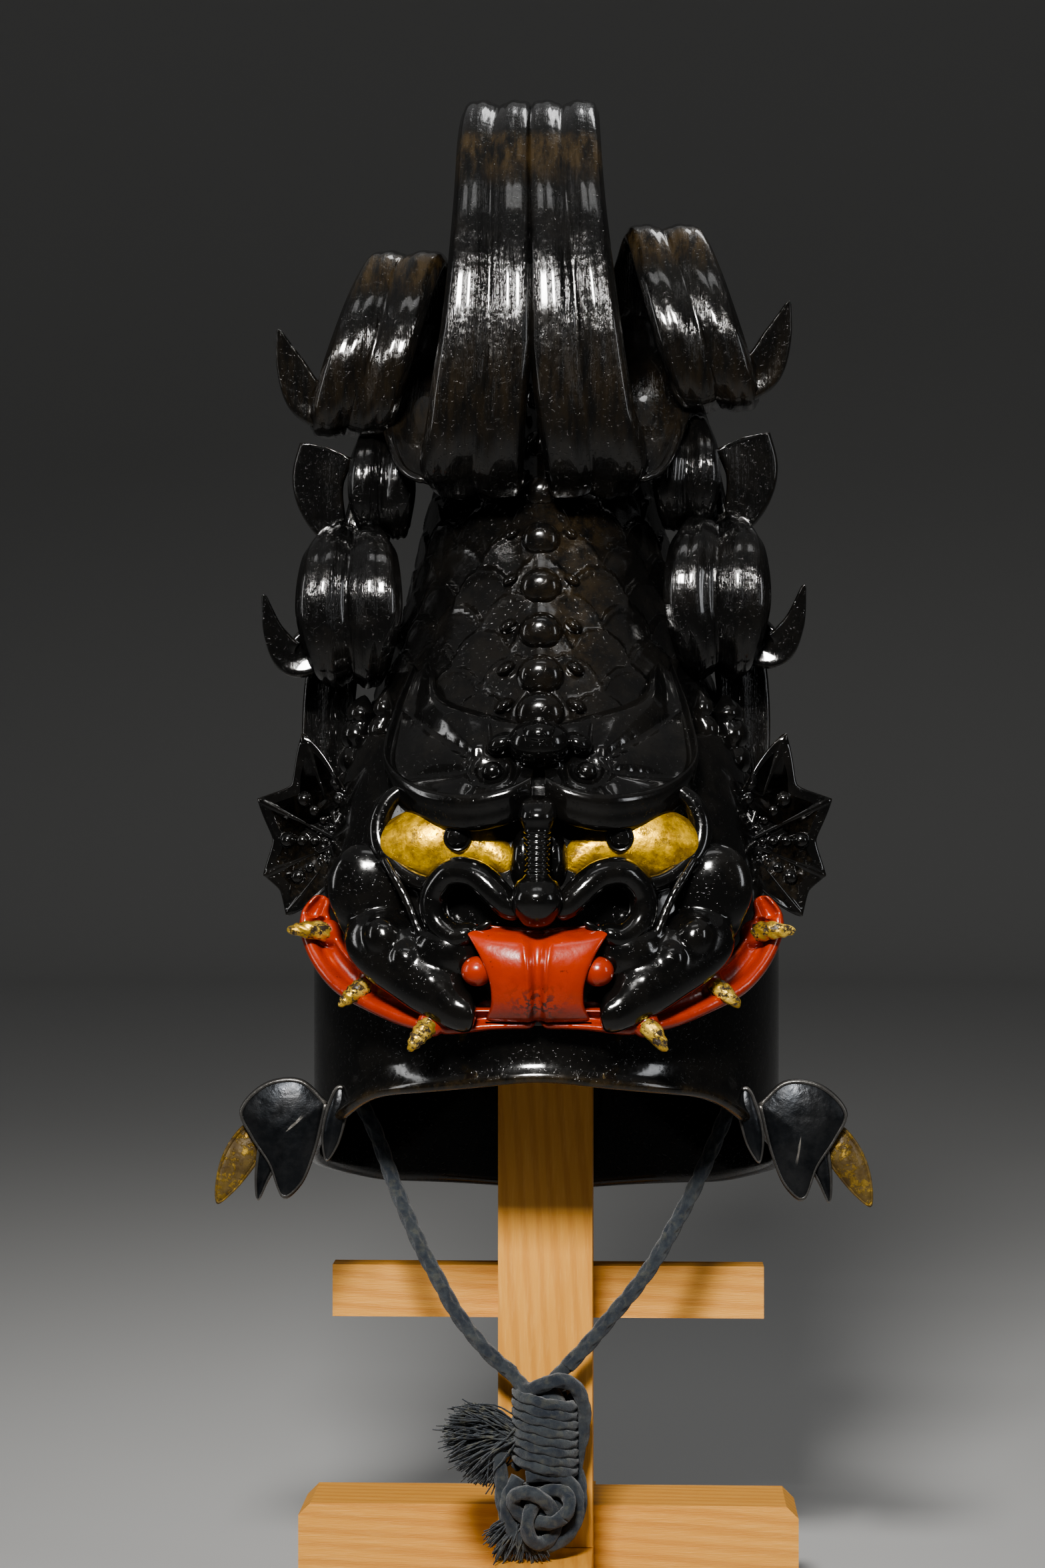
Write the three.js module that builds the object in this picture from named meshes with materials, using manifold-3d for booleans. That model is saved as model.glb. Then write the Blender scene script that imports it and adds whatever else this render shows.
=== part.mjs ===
// A figural kabuto helmet on its wooden stand: millimetres, +Z up, front towards -Y.
// The origin is on the floor, on the axis of the stand's post.
// Left and right are as seen from the front, so left is -X.
import * as THREE from "three";
import { mergeVertices } from "three/addons/utils/BufferGeometryUtils.js";
import Module from "manifold-3d";

const wasm = await Module();
wasm.setup();

// Clearance between two pieces that meet
const GAP = 0.3;

// Stand
const POST_SIDE = 45;
const FOOT_LENGTH = 240;
const FOOT_HEIGHT = 45;
const BOARD_LENGTH = 246;
const BOARD_HEIGHT = 55;
const BOARD_DEPTH = 45;
const BOARD_CHAMFER = 6;
const BAR_LENGTH = 212;
const BAR_HEIGHT = 25.5;
const BAR_DEPTH = 15;
const BAR_LIFT = 147;

// Bowl: its back rim is the lowest, the front rim is arched up by RIM_ARCH
const RIM_LIFT = 196;
const RIM_ARCH = 82;
const BOWL_WIDTH = 224;
const BOWL_DEPTH = 256;
const BOWL_HEIGHT = 224;
const DOME_HEIGHT = 90;
const DOME_POWER = 2.3;
const BOWL_WALL = 3;
const RIM_ROLL = 3.5;

// Face: its features are shares of these, across, up and out in front of the bowl
const FACE_LIFT = 104;
const FACE_WIDTH = 200;
const FACE_HEIGHT = 100;
const FACE_RELIEF = 40;
const BROW_THICKNESS = 11;
const EYE_LENGTH = 60;
const EYE_HEIGHT = 36;
const PUPIL_DIAMETER = 12.6;
const PUPIL_HEIGHT = 3.2;
const NOSE_DIAMETER = 23;
const NOSTRIL_THICKNESS = 11;
const CHEEK_THICKNESS = 24;
const CHEEK_WIDTH = 42;
const LIP_WIDTH = 68;
const LIP_HEIGHT = 41;
const LIP_THICKNESS = 11;
const LIP_BALL_DIAMETER = 14;
const BAND_HEIGHT = 15;
const BAND_THICKNESS = 9;
const TOOTH_THICKNESS = 9;

// Fish body
const BODY_LIFT = 176;
const BODY_WIDTH = 190;
const BODY_INSET = 16;
const BODY_HEIGHT = 318;
const BODY_LEAN = 6;
const KNOB_WIDTH = 26;
const KNOB_HEIGHT = 15;
const KNOB_COUNT = 9;

// Tail and side fins: shares of these, with the right side a little higher than the left
const TAIL_LIFT = 244;
const TAIL_SPREAD = 200;
const TAIL_REACH = 100;
const TAIL_HEIGHT = 300;
const TAIL_RAISE = 12;
const FIN_RAISE = 4;
const BAND_WIDTH = 100;
const LOBE_WIDTH = 40;
const FIN_WIDTH = 50;
const TAIL_THICKNESS = 9;
const LOBE_THICKNESS = 7.5;
const FIN_THICKNESS = 7;
const FLUTE_DEPTH = 4;
const SLIT_WIDTH = 18;

// Ears and the ridges beside them
const EAR_THICKNESS = 4;
const RAY_THICKNESS = 6;
const RIDGE_THICKNESS = 13;

// Metal leaves at the rim's front corners
const LEAF_THICKNESS = 2.4;
const LEAF_SPREAD = 100;
const LEAF_HEIGHT = 100;
const LEAF_SETBACK = 68;

// Chin cord
const CORD_DIAMETER = 7.5;
const CORD_SIDES = 8;
const CORD_STEPS = 12;
const KNOT_WIDTH = 36;
const KNOT_HEIGHT = 78;
const KNOT_LIFT = 52;
const TASSEL_SPREAD = 26;

// Heights and depths that other pieces line up with
const SHOULDER_Z = RIM_LIFT + BOWL_HEIGHT - DOME_HEIGHT;
const FACE_Z = RIM_LIFT + FACE_LIFT;
const BODY_Z = RIM_LIFT + BODY_LIFT;
const TAIL_Z = RIM_LIFT + TAIL_LIFT;
const BODY_DEPTH = BOWL_DEPTH - 2 * BODY_INSET;

const MATERIALS = {
  lacquer: new THREE.MeshStandardMaterial({ color: 0x0b0908, roughness: 0.18 }),
  vermilion: new THREE.MeshStandardMaterial({ color: 0xa52c0c, roughness: 0.3 }),
  gold: new THREE.MeshStandardMaterial({ color: 0xa98a2e, roughness: 0.45, metalness: 0.9 }),
  metal: new THREE.MeshStandardMaterial({ color: 0x23272b, roughness: 0.4, metalness: 0.7 }),
  cord: new THREE.MeshStandardMaterial({ color: 0x39414c, roughness: 0.95 }),
  pine: new THREE.MeshStandardMaterial({ color: 0xcf9d5a, roughness: 0.6 }),
};

const SIDES = [
  { name: "left", sign: -1, fin: 0, tail: 0 },
  { name: "right", sign: 1, fin: FIN_RAISE, tail: TAIL_RAISE },
];

// Solids

function solidOf(geometry) {
  const bare = geometry.clone();
  bare.deleteAttribute("normal");
  bare.deleteAttribute("uv");
  const merged = mergeVertices(bare, 1e-4);
  return solidFrom(merged.attributes.position.array, merged.index.array);
}

function solidFrom(vertices, faces) {
  const triVerts = new Uint32Array(faces);
  const vertProperties = new Float32Array(vertices);
  const made = new wasm.Manifold(new wasm.Mesh({ numProp: 3, vertProperties, triVerts }));
  if (made.volume() >= 0) return made;
  return solidFrom(vertices, triVerts.reverse());
}

// A closed skin through rings that hold the same count of points, each end closed by a fan
function loft(rings) {
  const count = rings[0].length;
  const points = rings.flat();
  const faces = [];
  for (let ring = 0; ring < rings.length - 1; ring++) {
    for (let i = 0; i < count; i++) {
      const a = ring * count + i;
      const b = ring * count + ((i + 1) % count);
      faces.push(a, b, b + count, a, b + count, a + count);
    }
  }
  const last = (rings.length - 1) * count;
  for (const [start, turned] of [[0, true], [last, false]]) {
    const middle = new THREE.Vector3();
    for (let i = 0; i < count; i++) middle.addScaledVector(points[start + i], 1 / count);
    points.push(middle);
    for (let i = 0; i < count; i++) {
      const a = start + i;
      const b = start + ((i + 1) % count);
      faces.push(...(turned ? [b, a] : [a, b]), points.length - 1);
    }
  }
  return solidFrom(points.flatMap((point) => point.toArray()), faces);
}

function union(...solids) {
  return solids.reduce((joined, next) => joined.add(next));
}

function largest(solid) {
  return solid.decompose().reduce((best, next) => (next.volume() > best.volume() ? next : best));
}

// The least share of its way out that a corner's face may keep while the corner is moved
const SHARPEST = 0.3;

// The same solid with its faces moved out by a clearance
function grown(solid, clearance) {
  const { vertProperties, triVerts } = solid.getMesh();
  const corner = (index) => new THREE.Vector3().fromArray(vertProperties, index * 3);
  const normals = Array.from({ length: vertProperties.length / 3 }, () => []);
  for (let i = 0; i < triVerts.length; i += 3) {
    const [a, b, c] = [0, 1, 2].map((k) => corner(triVerts[i + k]));
    const normal = b.clone().sub(a).cross(c.clone().sub(a)).normalize();
    for (let k = 0; k < 3; k++) normals[triVerts[i + k]].push(normal);
  }
  const moved = normals.flatMap((around, index) => {
    const way = around.reduce((sum, normal) => sum.add(normal), new THREE.Vector3()).normalize();
    const facing = around.map((normal) => way.dot(normal)).filter((share) => share > SHARPEST);
    const stretch = clearance / Math.min(1, ...facing);
    return corner(index).addScaledVector(way, stretch).toArray();
  });
  return solidFrom(moved, triVerts);
}

// A piece cut clear of its neighbours
function fitted(piece, ...neighbours) {
  const cut = (rest, other) => rest.subtract(grown(other, GAP)).subtract(other);
  return largest(neighbours.reduce(cut, piece));
}

function box(width, depth, height, x, y, z) {
  const geometry = new THREE.BoxGeometry(width, depth, height);
  return solidOf(geometry.translate(x, y, z + height / 2));
}

function ball(radii, at, sides = 10, rings = 6, turn = 0) {
  const geometry = new THREE.SphereGeometry(1, sides, rings);
  geometry.scale(radii.x, radii.z, radii.y).rotateX(Math.PI / 2).rotateY(turn);
  return solidOf(geometry.translate(at.x, at.y, at.z));
}

// Curves and tables

function mix(a, b, share) {
  return a + (b - a) * share;
}

// The value of one column of a table at a place between two rows
function column(rows, by, name, at) {
  const next = rows.findIndex((row) => row[by] > at);
  if (next === 0) return rows[0][name];
  if (next < 0) return rows[rows.length - 1][name];
  const [low, high] = [rows[next - 1], rows[next]];
  return mix(low[name], high[name], (at - low[by]) / (high[by] - low[by]));
}

function smooth(points) {
  return new THREE.CatmullRomCurve3(points, false, "centripetal");
}

// A column of a table read along its rows, with share 0 at the first row and 1 at the last
function along(rows, name, share) {
  const place = share * (rows.length - 1);
  const low = Math.min(rows.length - 2, Math.floor(place));
  return mix(rows[low][name], rows[low + 1][name], place - low);
}

function oval(count, halfWidth, front, back, z, power, shift = 0) {
  const middle = (front + back) / 2;
  const halfDepth = (back - front) / 2;
  const bend = (value) => Math.sign(value) * Math.abs(value) ** (2 / power);
  return Array.from({ length: count }, (_, i) => {
    const turn = (2 * Math.PI * i) / count;
    const x = shift + halfWidth * bend(Math.sin(turn));
    return new THREE.Vector3(x, middle - halfDepth * bend(Math.cos(turn)), z);
  });
}

// A section carried along a curve: its first number runs in the held direction, its second
// square to that and to the curve
function swept(curve, steps, held, sectionAt) {
  const rings = [];
  for (let step = 0; step <= steps; step++) {
    const share = step / steps;
    const centre = curve.getPoint(share);
    const tangent = curve.getTangent(share);
    const out = tangent.clone().cross(held).normalize();
    const across = out.clone().cross(tangent).normalize();
    rings.push(sectionAt(share).map(([a, o]) =>
      centre.clone().addScaledVector(across, a).addScaledVector(out, o)));
  }
  return loft(rings);
}

const ACROSS = new THREE.Vector3(1, 0, 0);
const BACK = new THREE.Vector3(0, 1, 0);

// The section of a fluted ribbon: ridges on its outer side, a plain inner side and thin edges
function flutedSection(width, thickness, ridges) {
  const outer = ridges * 2;
  const points = [];
  for (let i = 0; i <= outer; i++) {
    const share = (i / outer) * 2 - 1;
    const ridge = i % 2 === 1 ? FLUTE_DEPTH : 0;
    const edge = Math.abs(share) === 1 ? -thickness / 4 : 0;
    points.push([(share * width) / 2, thickness / 2 + ridge + edge]);
  }
  const inner = Math.max(2, ridges - 1);
  for (let i = inner; i >= 0; i--) {
    const share = (i / inner) * 2 - 1;
    points.push([(share * width) / 2, -thickness / 2]);
  }
  return points;
}

function ovalSection(held, square, count = 8) {
  return Array.from({ length: count }, (_, i) => {
    const turn = (2 * Math.PI * i) / count;
    return [(Math.cos(turn) * held) / 2, (Math.sin(turn) * square) / 2];
  });
}

// Bowl

const RIM = [
  { turn: 0, drop: 0 },
  { turn: 42, drop: 0.122 },
  { turn: 63, drop: 0.378 },
  { turn: 90, drop: 0.634 },
  { turn: 130, drop: 0.87 },
  { turn: 180, drop: 1 },
];
const BOWL_SIDES = 28;
const ROLL_RISE = 4;
const DOME_STEPS = [0.35, 0.65, 0.85, 0.96];

function rimZ(turn) {
  const degrees = Math.abs(THREE.MathUtils.radToDeg(turn));
  return RIM_LIFT + RIM_ARCH * (1 - column(RIM, "turn", "drop", degrees));
}

// The share of the bowl's full width that is left at a share of the dome's height
function domeShare(up) {
  return Math.max(0, 1 - up ** DOME_POWER) ** (1 / DOME_POWER);
}

function bowlRing(inset, zAt, share) {
  return Array.from({ length: BOWL_SIDES }, (_, i) => {
    const turn = Math.PI - (2 * Math.PI * i) / BOWL_SIDES;
    const x = (BOWL_WIDTH / 2 - inset) * share * Math.sin(turn);
    const y = -(BOWL_DEPTH / 2 - inset) * share * Math.cos(turn);
    return new THREE.Vector3(x, y, zAt(turn));
  });
}

function domeRings(inset) {
  const height = DOME_HEIGHT - inset;
  return DOME_STEPS.map((up) => bowlRing(inset, () => SHOULDER_Z + up * height, domeShare(up)));
}

function bowlSkin(inset, lowest) {
  return [bowlRing(inset, lowest, 1), bowlRing(inset, () => SHOULDER_Z, 1), ...domeRings(inset)];
}

function bowlOutside() {
  return [
    bowlRing(-RIM_ROLL, rimZ, 1),
    bowlRing(-RIM_ROLL, (turn) => rimZ(turn) + BOWL_WALL, 1),
    ...bowlSkin(0, (turn) => rimZ(turn) + ROLL_RISE * RIM_ROLL),
  ];
}

function makeBowl() {
  return loft([...bowlSkin(BOWL_WALL, rimZ).reverse(), ...bowlOutside()]);
}

// The bowl with its hollow filled, to cut what is built over it
function makeBowlBlock() {
  return loft(bowlOutside());
}

// Head and body

const HEAD = [
  { up: 0.02, half: 0.84, out: 0.12 },
  { up: 0.15, half: 0.93, out: 0.2 },
  { up: 0.35, half: 1.0, out: 0.24 },
  { up: 0.55, half: 1.03, out: 0.2 },
  { up: 0.75, half: 1.02, out: -0.02 },
  { up: 0.95, half: 0.99, out: -0.2 },
  { up: 1.15, half: 0.95, out: -0.42 },
  { up: 1.32, half: 0.9, out: -0.67 },
];
const HEAD_SIDES = 18;
const HEAD_BACK = 45;

const BODY = [
  { up: 0, half: 1, front: 1, back: 1.02 },
  { up: 0.072, half: 0.97, front: 1, back: 1 },
  { up: 0.167, half: 0.93, front: 0.94, back: 0.96 },
  { up: 0.242, half: 0.865, front: 0.79, back: 0.93 },
  { up: 0.355, half: 0.737, front: 0.59, back: 0.86 },
  { up: 0.45, half: 0.653, front: 0.446, back: 0.82 },
  { up: 0.55, half: 0.58, front: 0.268, back: 0.8 },
  { up: 0.654, half: 0.484, front: 0.07, back: 0.77 },
  { up: 0.78, half: 0.4, front: -0.107, back: 0.75 },
  { up: 0.906, half: 0.337, front: -0.25, back: 0.73 },
  { up: 1, half: 0.2, front: -0.36, back: 0.68 },
];
const BODY_SIDES = 18;
const BODY_POWER = 2.15;

// A place on the face: shares across, out in front of the bowl and up
function face(across, out, up) {
  const x = (across * FACE_WIDTH) / 2;
  return new THREE.Vector3(x, -(BOWL_DEPTH / 2 + out * FACE_RELIEF), FACE_Z + up * FACE_HEIGHT);
}

function bodyAt(up) {
  const read = (name) => column(BODY, "up", name, up);
  return {
    half: (read("half") * BODY_WIDTH) / 2,
    front: (-read("front") * BODY_DEPTH) / 2,
    back: (read("back") * BODY_DEPTH) / 2,
    z: BODY_Z + up * BODY_HEIGHT,
    shift: -BODY_LEAN * up ** 2,
  };
}

function makeHeadBlock() {
  return loft(HEAD.map(({ up, half, out }) => {
    const front = face(0, out, up);
    return oval(HEAD_SIDES, (half * FACE_WIDTH) / 2, front.y, HEAD_BACK, front.z, 2);
  }));
}

function makeBodyBlock() {
  return loft(BODY.map(({ up }) => {
    const at = bodyAt(up);
    return oval(BODY_SIDES, at.half, at.front, at.back, at.z, BODY_POWER, at.shift);
  }));
}

// The knobs of the spine run up the front of the body and shrink with it
const KNOBS = { from: 0.242, to: 0.8, crowding: 1.12, smallest: 0.6, depth: 0.62 };
const KNOB_SIDES = 8;
const KNOB_RINGS = 4;

function makeKnobs() {
  return Array.from({ length: KNOB_COUNT }, (_, i) => {
    const place = i / (KNOB_COUNT - 1);
    const at = bodyAt(mix(KNOBS.from, KNOBS.to, place ** KNOBS.crowding));
    const radii = new THREE.Vector3(KNOB_WIDTH / 2, KNOB_HEIGHT * KNOBS.depth, KNOB_HEIGHT / 2);
    radii.multiplyScalar(mix(1, KNOBS.smallest, place));
    return ball(radii, new THREE.Vector3(at.shift, at.front, at.z), KNOB_SIDES, KNOB_RINGS);
  });
}

// The forehead knob sits between the two brow plates
const FOREHEAD_KNOB = { out: -0.5, up: 1.27, width: 1.24, depth: 2 };

function makeForeheadKnob() {
  const { out, up, width, depth } = FOREHEAD_KNOB;
  const radii = new THREE.Vector3(width * KNOB_WIDTH, depth * KNOB_HEIGHT, KNOB_HEIGHT);
  return ball(radii.divideScalar(2), face(0, out, up), KNOB_SIDES, KNOB_RINGS);
}

// Brow plates: a shelf whose rim runs out over the eye and turns up and back beside it

const BROW = [
  { rimX: 0.03, rimOut: 0.2, rimUp: 1.08, rootX: 0.02, rootOut: -0.72, rootUp: 1.34 },
  { rimX: 0.14, rimOut: 0.3, rimUp: 1.03, rootX: 0.14, rootOut: -0.72, rootUp: 1.38 },
  { rimX: 0.32, rimOut: 0.24, rimUp: 1.0, rootX: 0.28, rootOut: -0.8, rootUp: 1.42 },
  { rimX: 0.54, rimOut: -0.14, rimUp: 1.04, rootX: 0.4, rootOut: -0.95, rootUp: 1.46 },
  { rimX: 0.69, rimOut: -0.62, rimUp: 1.17, rootX: 0.48, rootOut: -1.2, rootUp: 1.52 },
  { rimX: 0.67, rimOut: -1.05, rimUp: 1.38, rootX: 0.5, rootOut: -1.5, rootUp: 1.6 },
  { rimX: 0.6, rimOut: -1.65, rimUp: 1.62, rootX: 0.52, rootOut: -1.85, rootUp: 1.66 },
];

// The plate's section: shares of the way in from the rim to the root, and of its thickness down
const BROW_SECTION = [
  { inset: 0, drop: -0.15 },
  { inset: -0.04, drop: 0.4 },
  { inset: 0.06, drop: 1 },
  { inset: 0.5, drop: 1.1 },
  { inset: 1, drop: 1.2 },
  { inset: 1, drop: 0 },
  { inset: 0.55, drop: 0.15 },
  { inset: 0.12, drop: 0.15 },
];
const BROW_DISH = 1.6;
const BROW_SLIM = { from: 1.17, over: 0.45, least: 0.55 };

function makeBrow(sign) {
  const thick = BROW_THICKNESS / FACE_HEIGHT;
  return loft(BROW.map((row) => {
    const raised = Math.max(0, row.rimUp - BROW_SLIM.from) / BROW_SLIM.over;
    const slim = mix(1, BROW_SLIM.least, raised);
    return BROW_SECTION.map(({ inset, drop }) => {
      const rise = mix(row.rimUp, row.rootUp, Math.max(0, inset) ** BROW_DISH);
      return face(
        sign * mix(row.rimX, row.rootX, inset),
        mix(row.rimOut, row.rootOut, inset),
        rise - drop * thick * slim,
      );
    });
  }));
}

// Eyes slant down towards the nose, under the brow plates

const EYE = { x: 0.46, out: -0.42, up: 0.82, slant: 8 };
const PUPIL = { x: 0.36, up: 0.853 };

function makeEye(sign) {
  const at = face(sign * EYE.x, EYE.out, EYE.up);
  const radii = new THREE.Vector3(EYE_LENGTH / 2, EYE_HEIGHT / 2, EYE_HEIGHT / 2);
  return ball(radii, at, 10, 8, -sign * THREE.MathUtils.degToRad(EYE.slant));
}

// The eye's front at the pupil, from its ellipsoid
function makePupil(sign) {
  const spot = face(sign * PUPIL.x, 0, PUPIL.up);
  const eye = face(sign * EYE.x, EYE.out, EYE.up);
  const across = ((spot.x - eye.x) / EYE_LENGTH) * 2;
  const up = ((spot.z - eye.z) / EYE_HEIGHT) * 2;
  const front = eye.y - (EYE_HEIGHT / 2) * Math.sqrt(Math.max(0, 1 - across ** 2 - up ** 2));
  const radii = new THREE.Vector3(PUPIL_DIAMETER / 2, PUPIL_HEIGHT, PUPIL_DIAMETER / 2);
  return ball(radii, new THREE.Vector3(spot.x, front, spot.z), 8, 6);
}

// Nose: a ball at the bridge, a ringed column and a round bulb

const NOSE = [
  { out: 0.1, up: 1.04, radius: 0.2 },
  { out: 0.18, up: 1.01, radius: 0.62 },
  { out: 0.26, up: 0.95, radius: 0.7 },
  { out: 0.34, up: 0.89, radius: 0.56 },
  { out: 0.55, up: 0.7, radius: 0.5 },
  { out: 0.6, up: 0.66, radius: 0.85 },
  { out: 0.64, up: 0.6, radius: 1 },
  { out: 0.62, up: 0.54, radius: 0.92 },
  { out: 0.56, up: 0.48, radius: 0.55 },
  { out: 0.5, up: 0.455, radius: 0.1 },
];
const NOSE_SIDES = 8;
const NOSE_RINGS = 5;
const RING_TABLE = { from: 3, to: 4, relief: 0.1 };

function noseRing(out, up, radius) {
  const centre = face(0, out, up);
  const size = (radius * NOSE_DIAMETER) / 2;
  return oval(NOSE_SIDES, size, centre.y - size, centre.y + size, centre.z, 2);
}

function makeNose() {
  const rings = [];
  NOSE.forEach((row, i) => {
    rings.push(noseRing(row.out, row.up, row.radius));
    if (i !== RING_TABLE.from) return;
    const end = NOSE[RING_TABLE.to];
    for (let ring = 1; ring < 2 * NOSE_RINGS; ring++) {
      const share = ring / (2 * NOSE_RINGS);
      const relief = ring % 2 === 1 ? -RING_TABLE.relief : 0;
      const radius = mix(row.radius, end.radius, share) + relief;
      rings.push(noseRing(mix(row.out, end.out, share), mix(row.up, end.up, share), radius));
    }
  });
  return loft(rings);
}

// Rolled forms of the face follow a short path, with a width and a depth for each row

const NOSTRIL = [
  { x: 0.08, out: 0.5, up: 0.5, width: 0.7 },
  { x: 0.17, out: 0.44, up: 0.6, width: 1 },
  { x: 0.28, out: 0.34, up: 0.69, width: 1.05 },
  { x: 0.39, out: 0.22, up: 0.69, width: 1.05 },
  { x: 0.46, out: 0.12, up: 0.6, width: 1 },
  { x: 0.45, out: 0.14, up: 0.49, width: 0.95 },
  { x: 0.36, out: 0.24, up: 0.42, width: 0.9 },
  { x: 0.26, out: 0.3, up: 0.46, width: 0.75 },
];

const CHEEK = [
  { x: 0.82, out: -0.5, up: 0.79, width: 0.19 },
  { x: 0.81, out: -0.44, up: 0.71, width: 0.74 },
  { x: 0.78, out: -0.34, up: 0.57, width: 1 },
  { x: 0.71, out: -0.18, up: 0.43, width: 1 },
  { x: 0.6, out: 0, up: 0.32, width: 0.86 },
  { x: 0.49, out: 0.18, up: 0.21, width: 0.64 },
  { x: 0.41, out: 0.28, up: 0.11, width: 0.36 },
  { x: 0.38, out: 0.3, up: 0.05, width: 0.1 },
];

function makeRoll(rows, sign, steps, sectionAt) {
  const curve = smooth(rows.map((row) => face(sign * row.x, row.out, row.up)));
  return swept(curve, steps, BACK, sectionAt);
}

const NOSTRIL_DEPTH = 1.3;

function makeNostril(sign) {
  return makeRoll(NOSTRIL, sign, 9, (share) => {
    const width = along(NOSTRIL, "width", share) * NOSTRIL_THICKNESS;
    return ovalSection(width * NOSTRIL_DEPTH, width);
  });
}

function makeCheek(sign) {
  return makeRoll(CHEEK, sign, 8, (share) => {
    const width = along(CHEEK, "width", share);
    return ovalSection(CHEEK_THICKNESS * Math.sqrt(width), width * CHEEK_WIDTH);
  });
}

// Upper lip: a scroll with a groove down its middle, narrow at its waist

const LIP = [
  { up: 1, half: 1, bulge: 0.35 },
  { up: 0.86, half: 0.86, bulge: 0.75 },
  { up: 0.62, half: 0.69, bulge: 1 },
  { up: 0.4, half: 0.61, bulge: 0.95 },
  { up: 0.2, half: 0.6, bulge: 0.7 },
  { up: 0, half: 0.68, bulge: 0.2 },
];
const LIP_BASE = { out: 0.2, up: 0.045, front: 0.4, depth: 1.1 };
const LIP_ACROSS = [
  { share: -1, back: 0.5 },
  { share: -0.7, back: 0.16 },
  { share: -0.3, back: 0 },
  { share: -0.07, back: 0.02 },
  { share: 0, back: 0.14 },
  { share: 0.07, back: 0.02 },
  { share: 0.3, back: 0 },
  { share: 0.7, back: 0.16 },
  { share: 1, back: 0.5 },
];

function makeLip() {
  return loft(LIP.map(({ up, half, bulge }) => {
    const base = face(0, LIP_BASE.out, LIP_BASE.up);
    const z = base.z + up * LIP_HEIGHT;
    const front = base.y - (LIP_BASE.front + bulge) * LIP_THICKNESS;
    const outer = LIP_ACROSS.map(({ share, back }) =>
      new THREE.Vector3((share * half * LIP_WIDTH) / 2, front + back * LIP_THICKNESS, z));
    const inner = [1, 0, -1].map((share) =>
      new THREE.Vector3((share * half * LIP_WIDTH) / 2, front + LIP_THICKNESS * LIP_BASE.depth, z));
    return [...outer, ...inner];
  }));
}

const LIP_BALL = { x: 0.285, out: 0.4, up: 0.27 };

function makeLipBall(sign) {
  const radius = LIP_BALL_DIAMETER / 2;
  const at = face(sign * LIP_BALL.x, LIP_BALL.out, LIP_BALL.up);
  return ball(new THREE.Vector3(radius, radius, radius), at, 8, 6);
}

// Mouth band: the red lower lip, from the middle round below the cheek and up beside the ear

const BAND = [
  { x: 0.003, out: 0.3, up: 0.06, height: 0.8 },
  { x: 0.2, out: 0.28, up: 0.05, height: 0.8 },
  { x: 0.4, out: 0.12, up: 0.04, height: 0.9 },
  { x: 0.55, out: -0.08, up: 0.09, height: 1 },
  { x: 0.72, out: -0.3, up: 0.15, height: 1 },
  { x: 0.88, out: -0.62, up: 0.23, height: 1 },
  { x: 0.99, out: -0.9, up: 0.36, height: 0.95 },
  { x: 1.03, out: -1.02, up: 0.48, height: 0.8 },
  { x: 0.99, out: -1.04, up: 0.58, height: 0.4 },
];

function makeBand(sign) {
  return makeRoll(BAND, sign, 9, (share) => {
    const height = along(BAND, "height", share) * BAND_HEIGHT;
    return ovalSection(BAND_THICKNESS, height, 6);
  });
}

const TEETH = [
  { name: "outer", x: 0.93, out: -0.98, up: 0.41, tipX: 1.15, tipUp: 0.43 },
  { name: "middle", x: 0.75, out: -0.55, up: 0.2, tipX: 0.895, tipUp: 0.1 },
  { name: "inner", x: 0.46, out: 0.06, up: 0.05, tipX: 0.565, tipUp: -0.08 },
];
const TOOTH_TAPER = [0.8, 1, 0.86, 0.55, 0.12];
const TOOTH_LEAN = { base: 0.1, tip: 0.34, bow: 0.25, rise: 0.1 };

function makeTooth(sign, row) {
  const base = face(sign * row.x, row.out + TOOTH_LEAN.base, row.up);
  const tip = face(sign * row.tipX, row.out + TOOTH_LEAN.tip, row.tipUp);
  const bow = new THREE.Vector3(0, -TOOTH_LEAN.bow, TOOTH_LEAN.rise).multiplyScalar(TOOTH_THICKNESS);
  const curve = smooth([base, base.clone().lerp(tip, 0.5).add(bow), tip]);
  return swept(curve, TOOTH_TAPER.length - 1, BACK, (share) => {
    const size = TOOTH_TAPER[Math.round(share * (TOOTH_TAPER.length - 1))] * TOOTH_THICKNESS;
    return ovalSection(size, size, 6);
  });
}

// Ears: a scalloped web on four rays, and the lumpy ridge beside it

const EAR_ROOT = { x: 0.93, up: 0.82 };
const EAR_RAYS = [
  { tipX: 1.13, tipUp: 1.33, dipX: 1.16, dipUp: 1.11 },
  { tipX: 1.36, tipUp: 1.02, dipX: 1.28, dipUp: 0.82 },
  { tipX: 1.33, tipUp: 0.66, dipX: 1.2, dipUp: 0.54 },
  { tipX: 1.21, tipUp: 0.47, dipX: 1.0, dipUp: 0.6 },
];
const EAR_TOP = { x: 0.9, up: 1.1 };
const EAR_LOW = { x: 0.86, up: 0.66 };
const EAR_SETBACK = 55;
const EAR_SWEEP = 18;
const RAY_TAPER = 0.3;
const RAY_DEPTH = 1.4;

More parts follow.
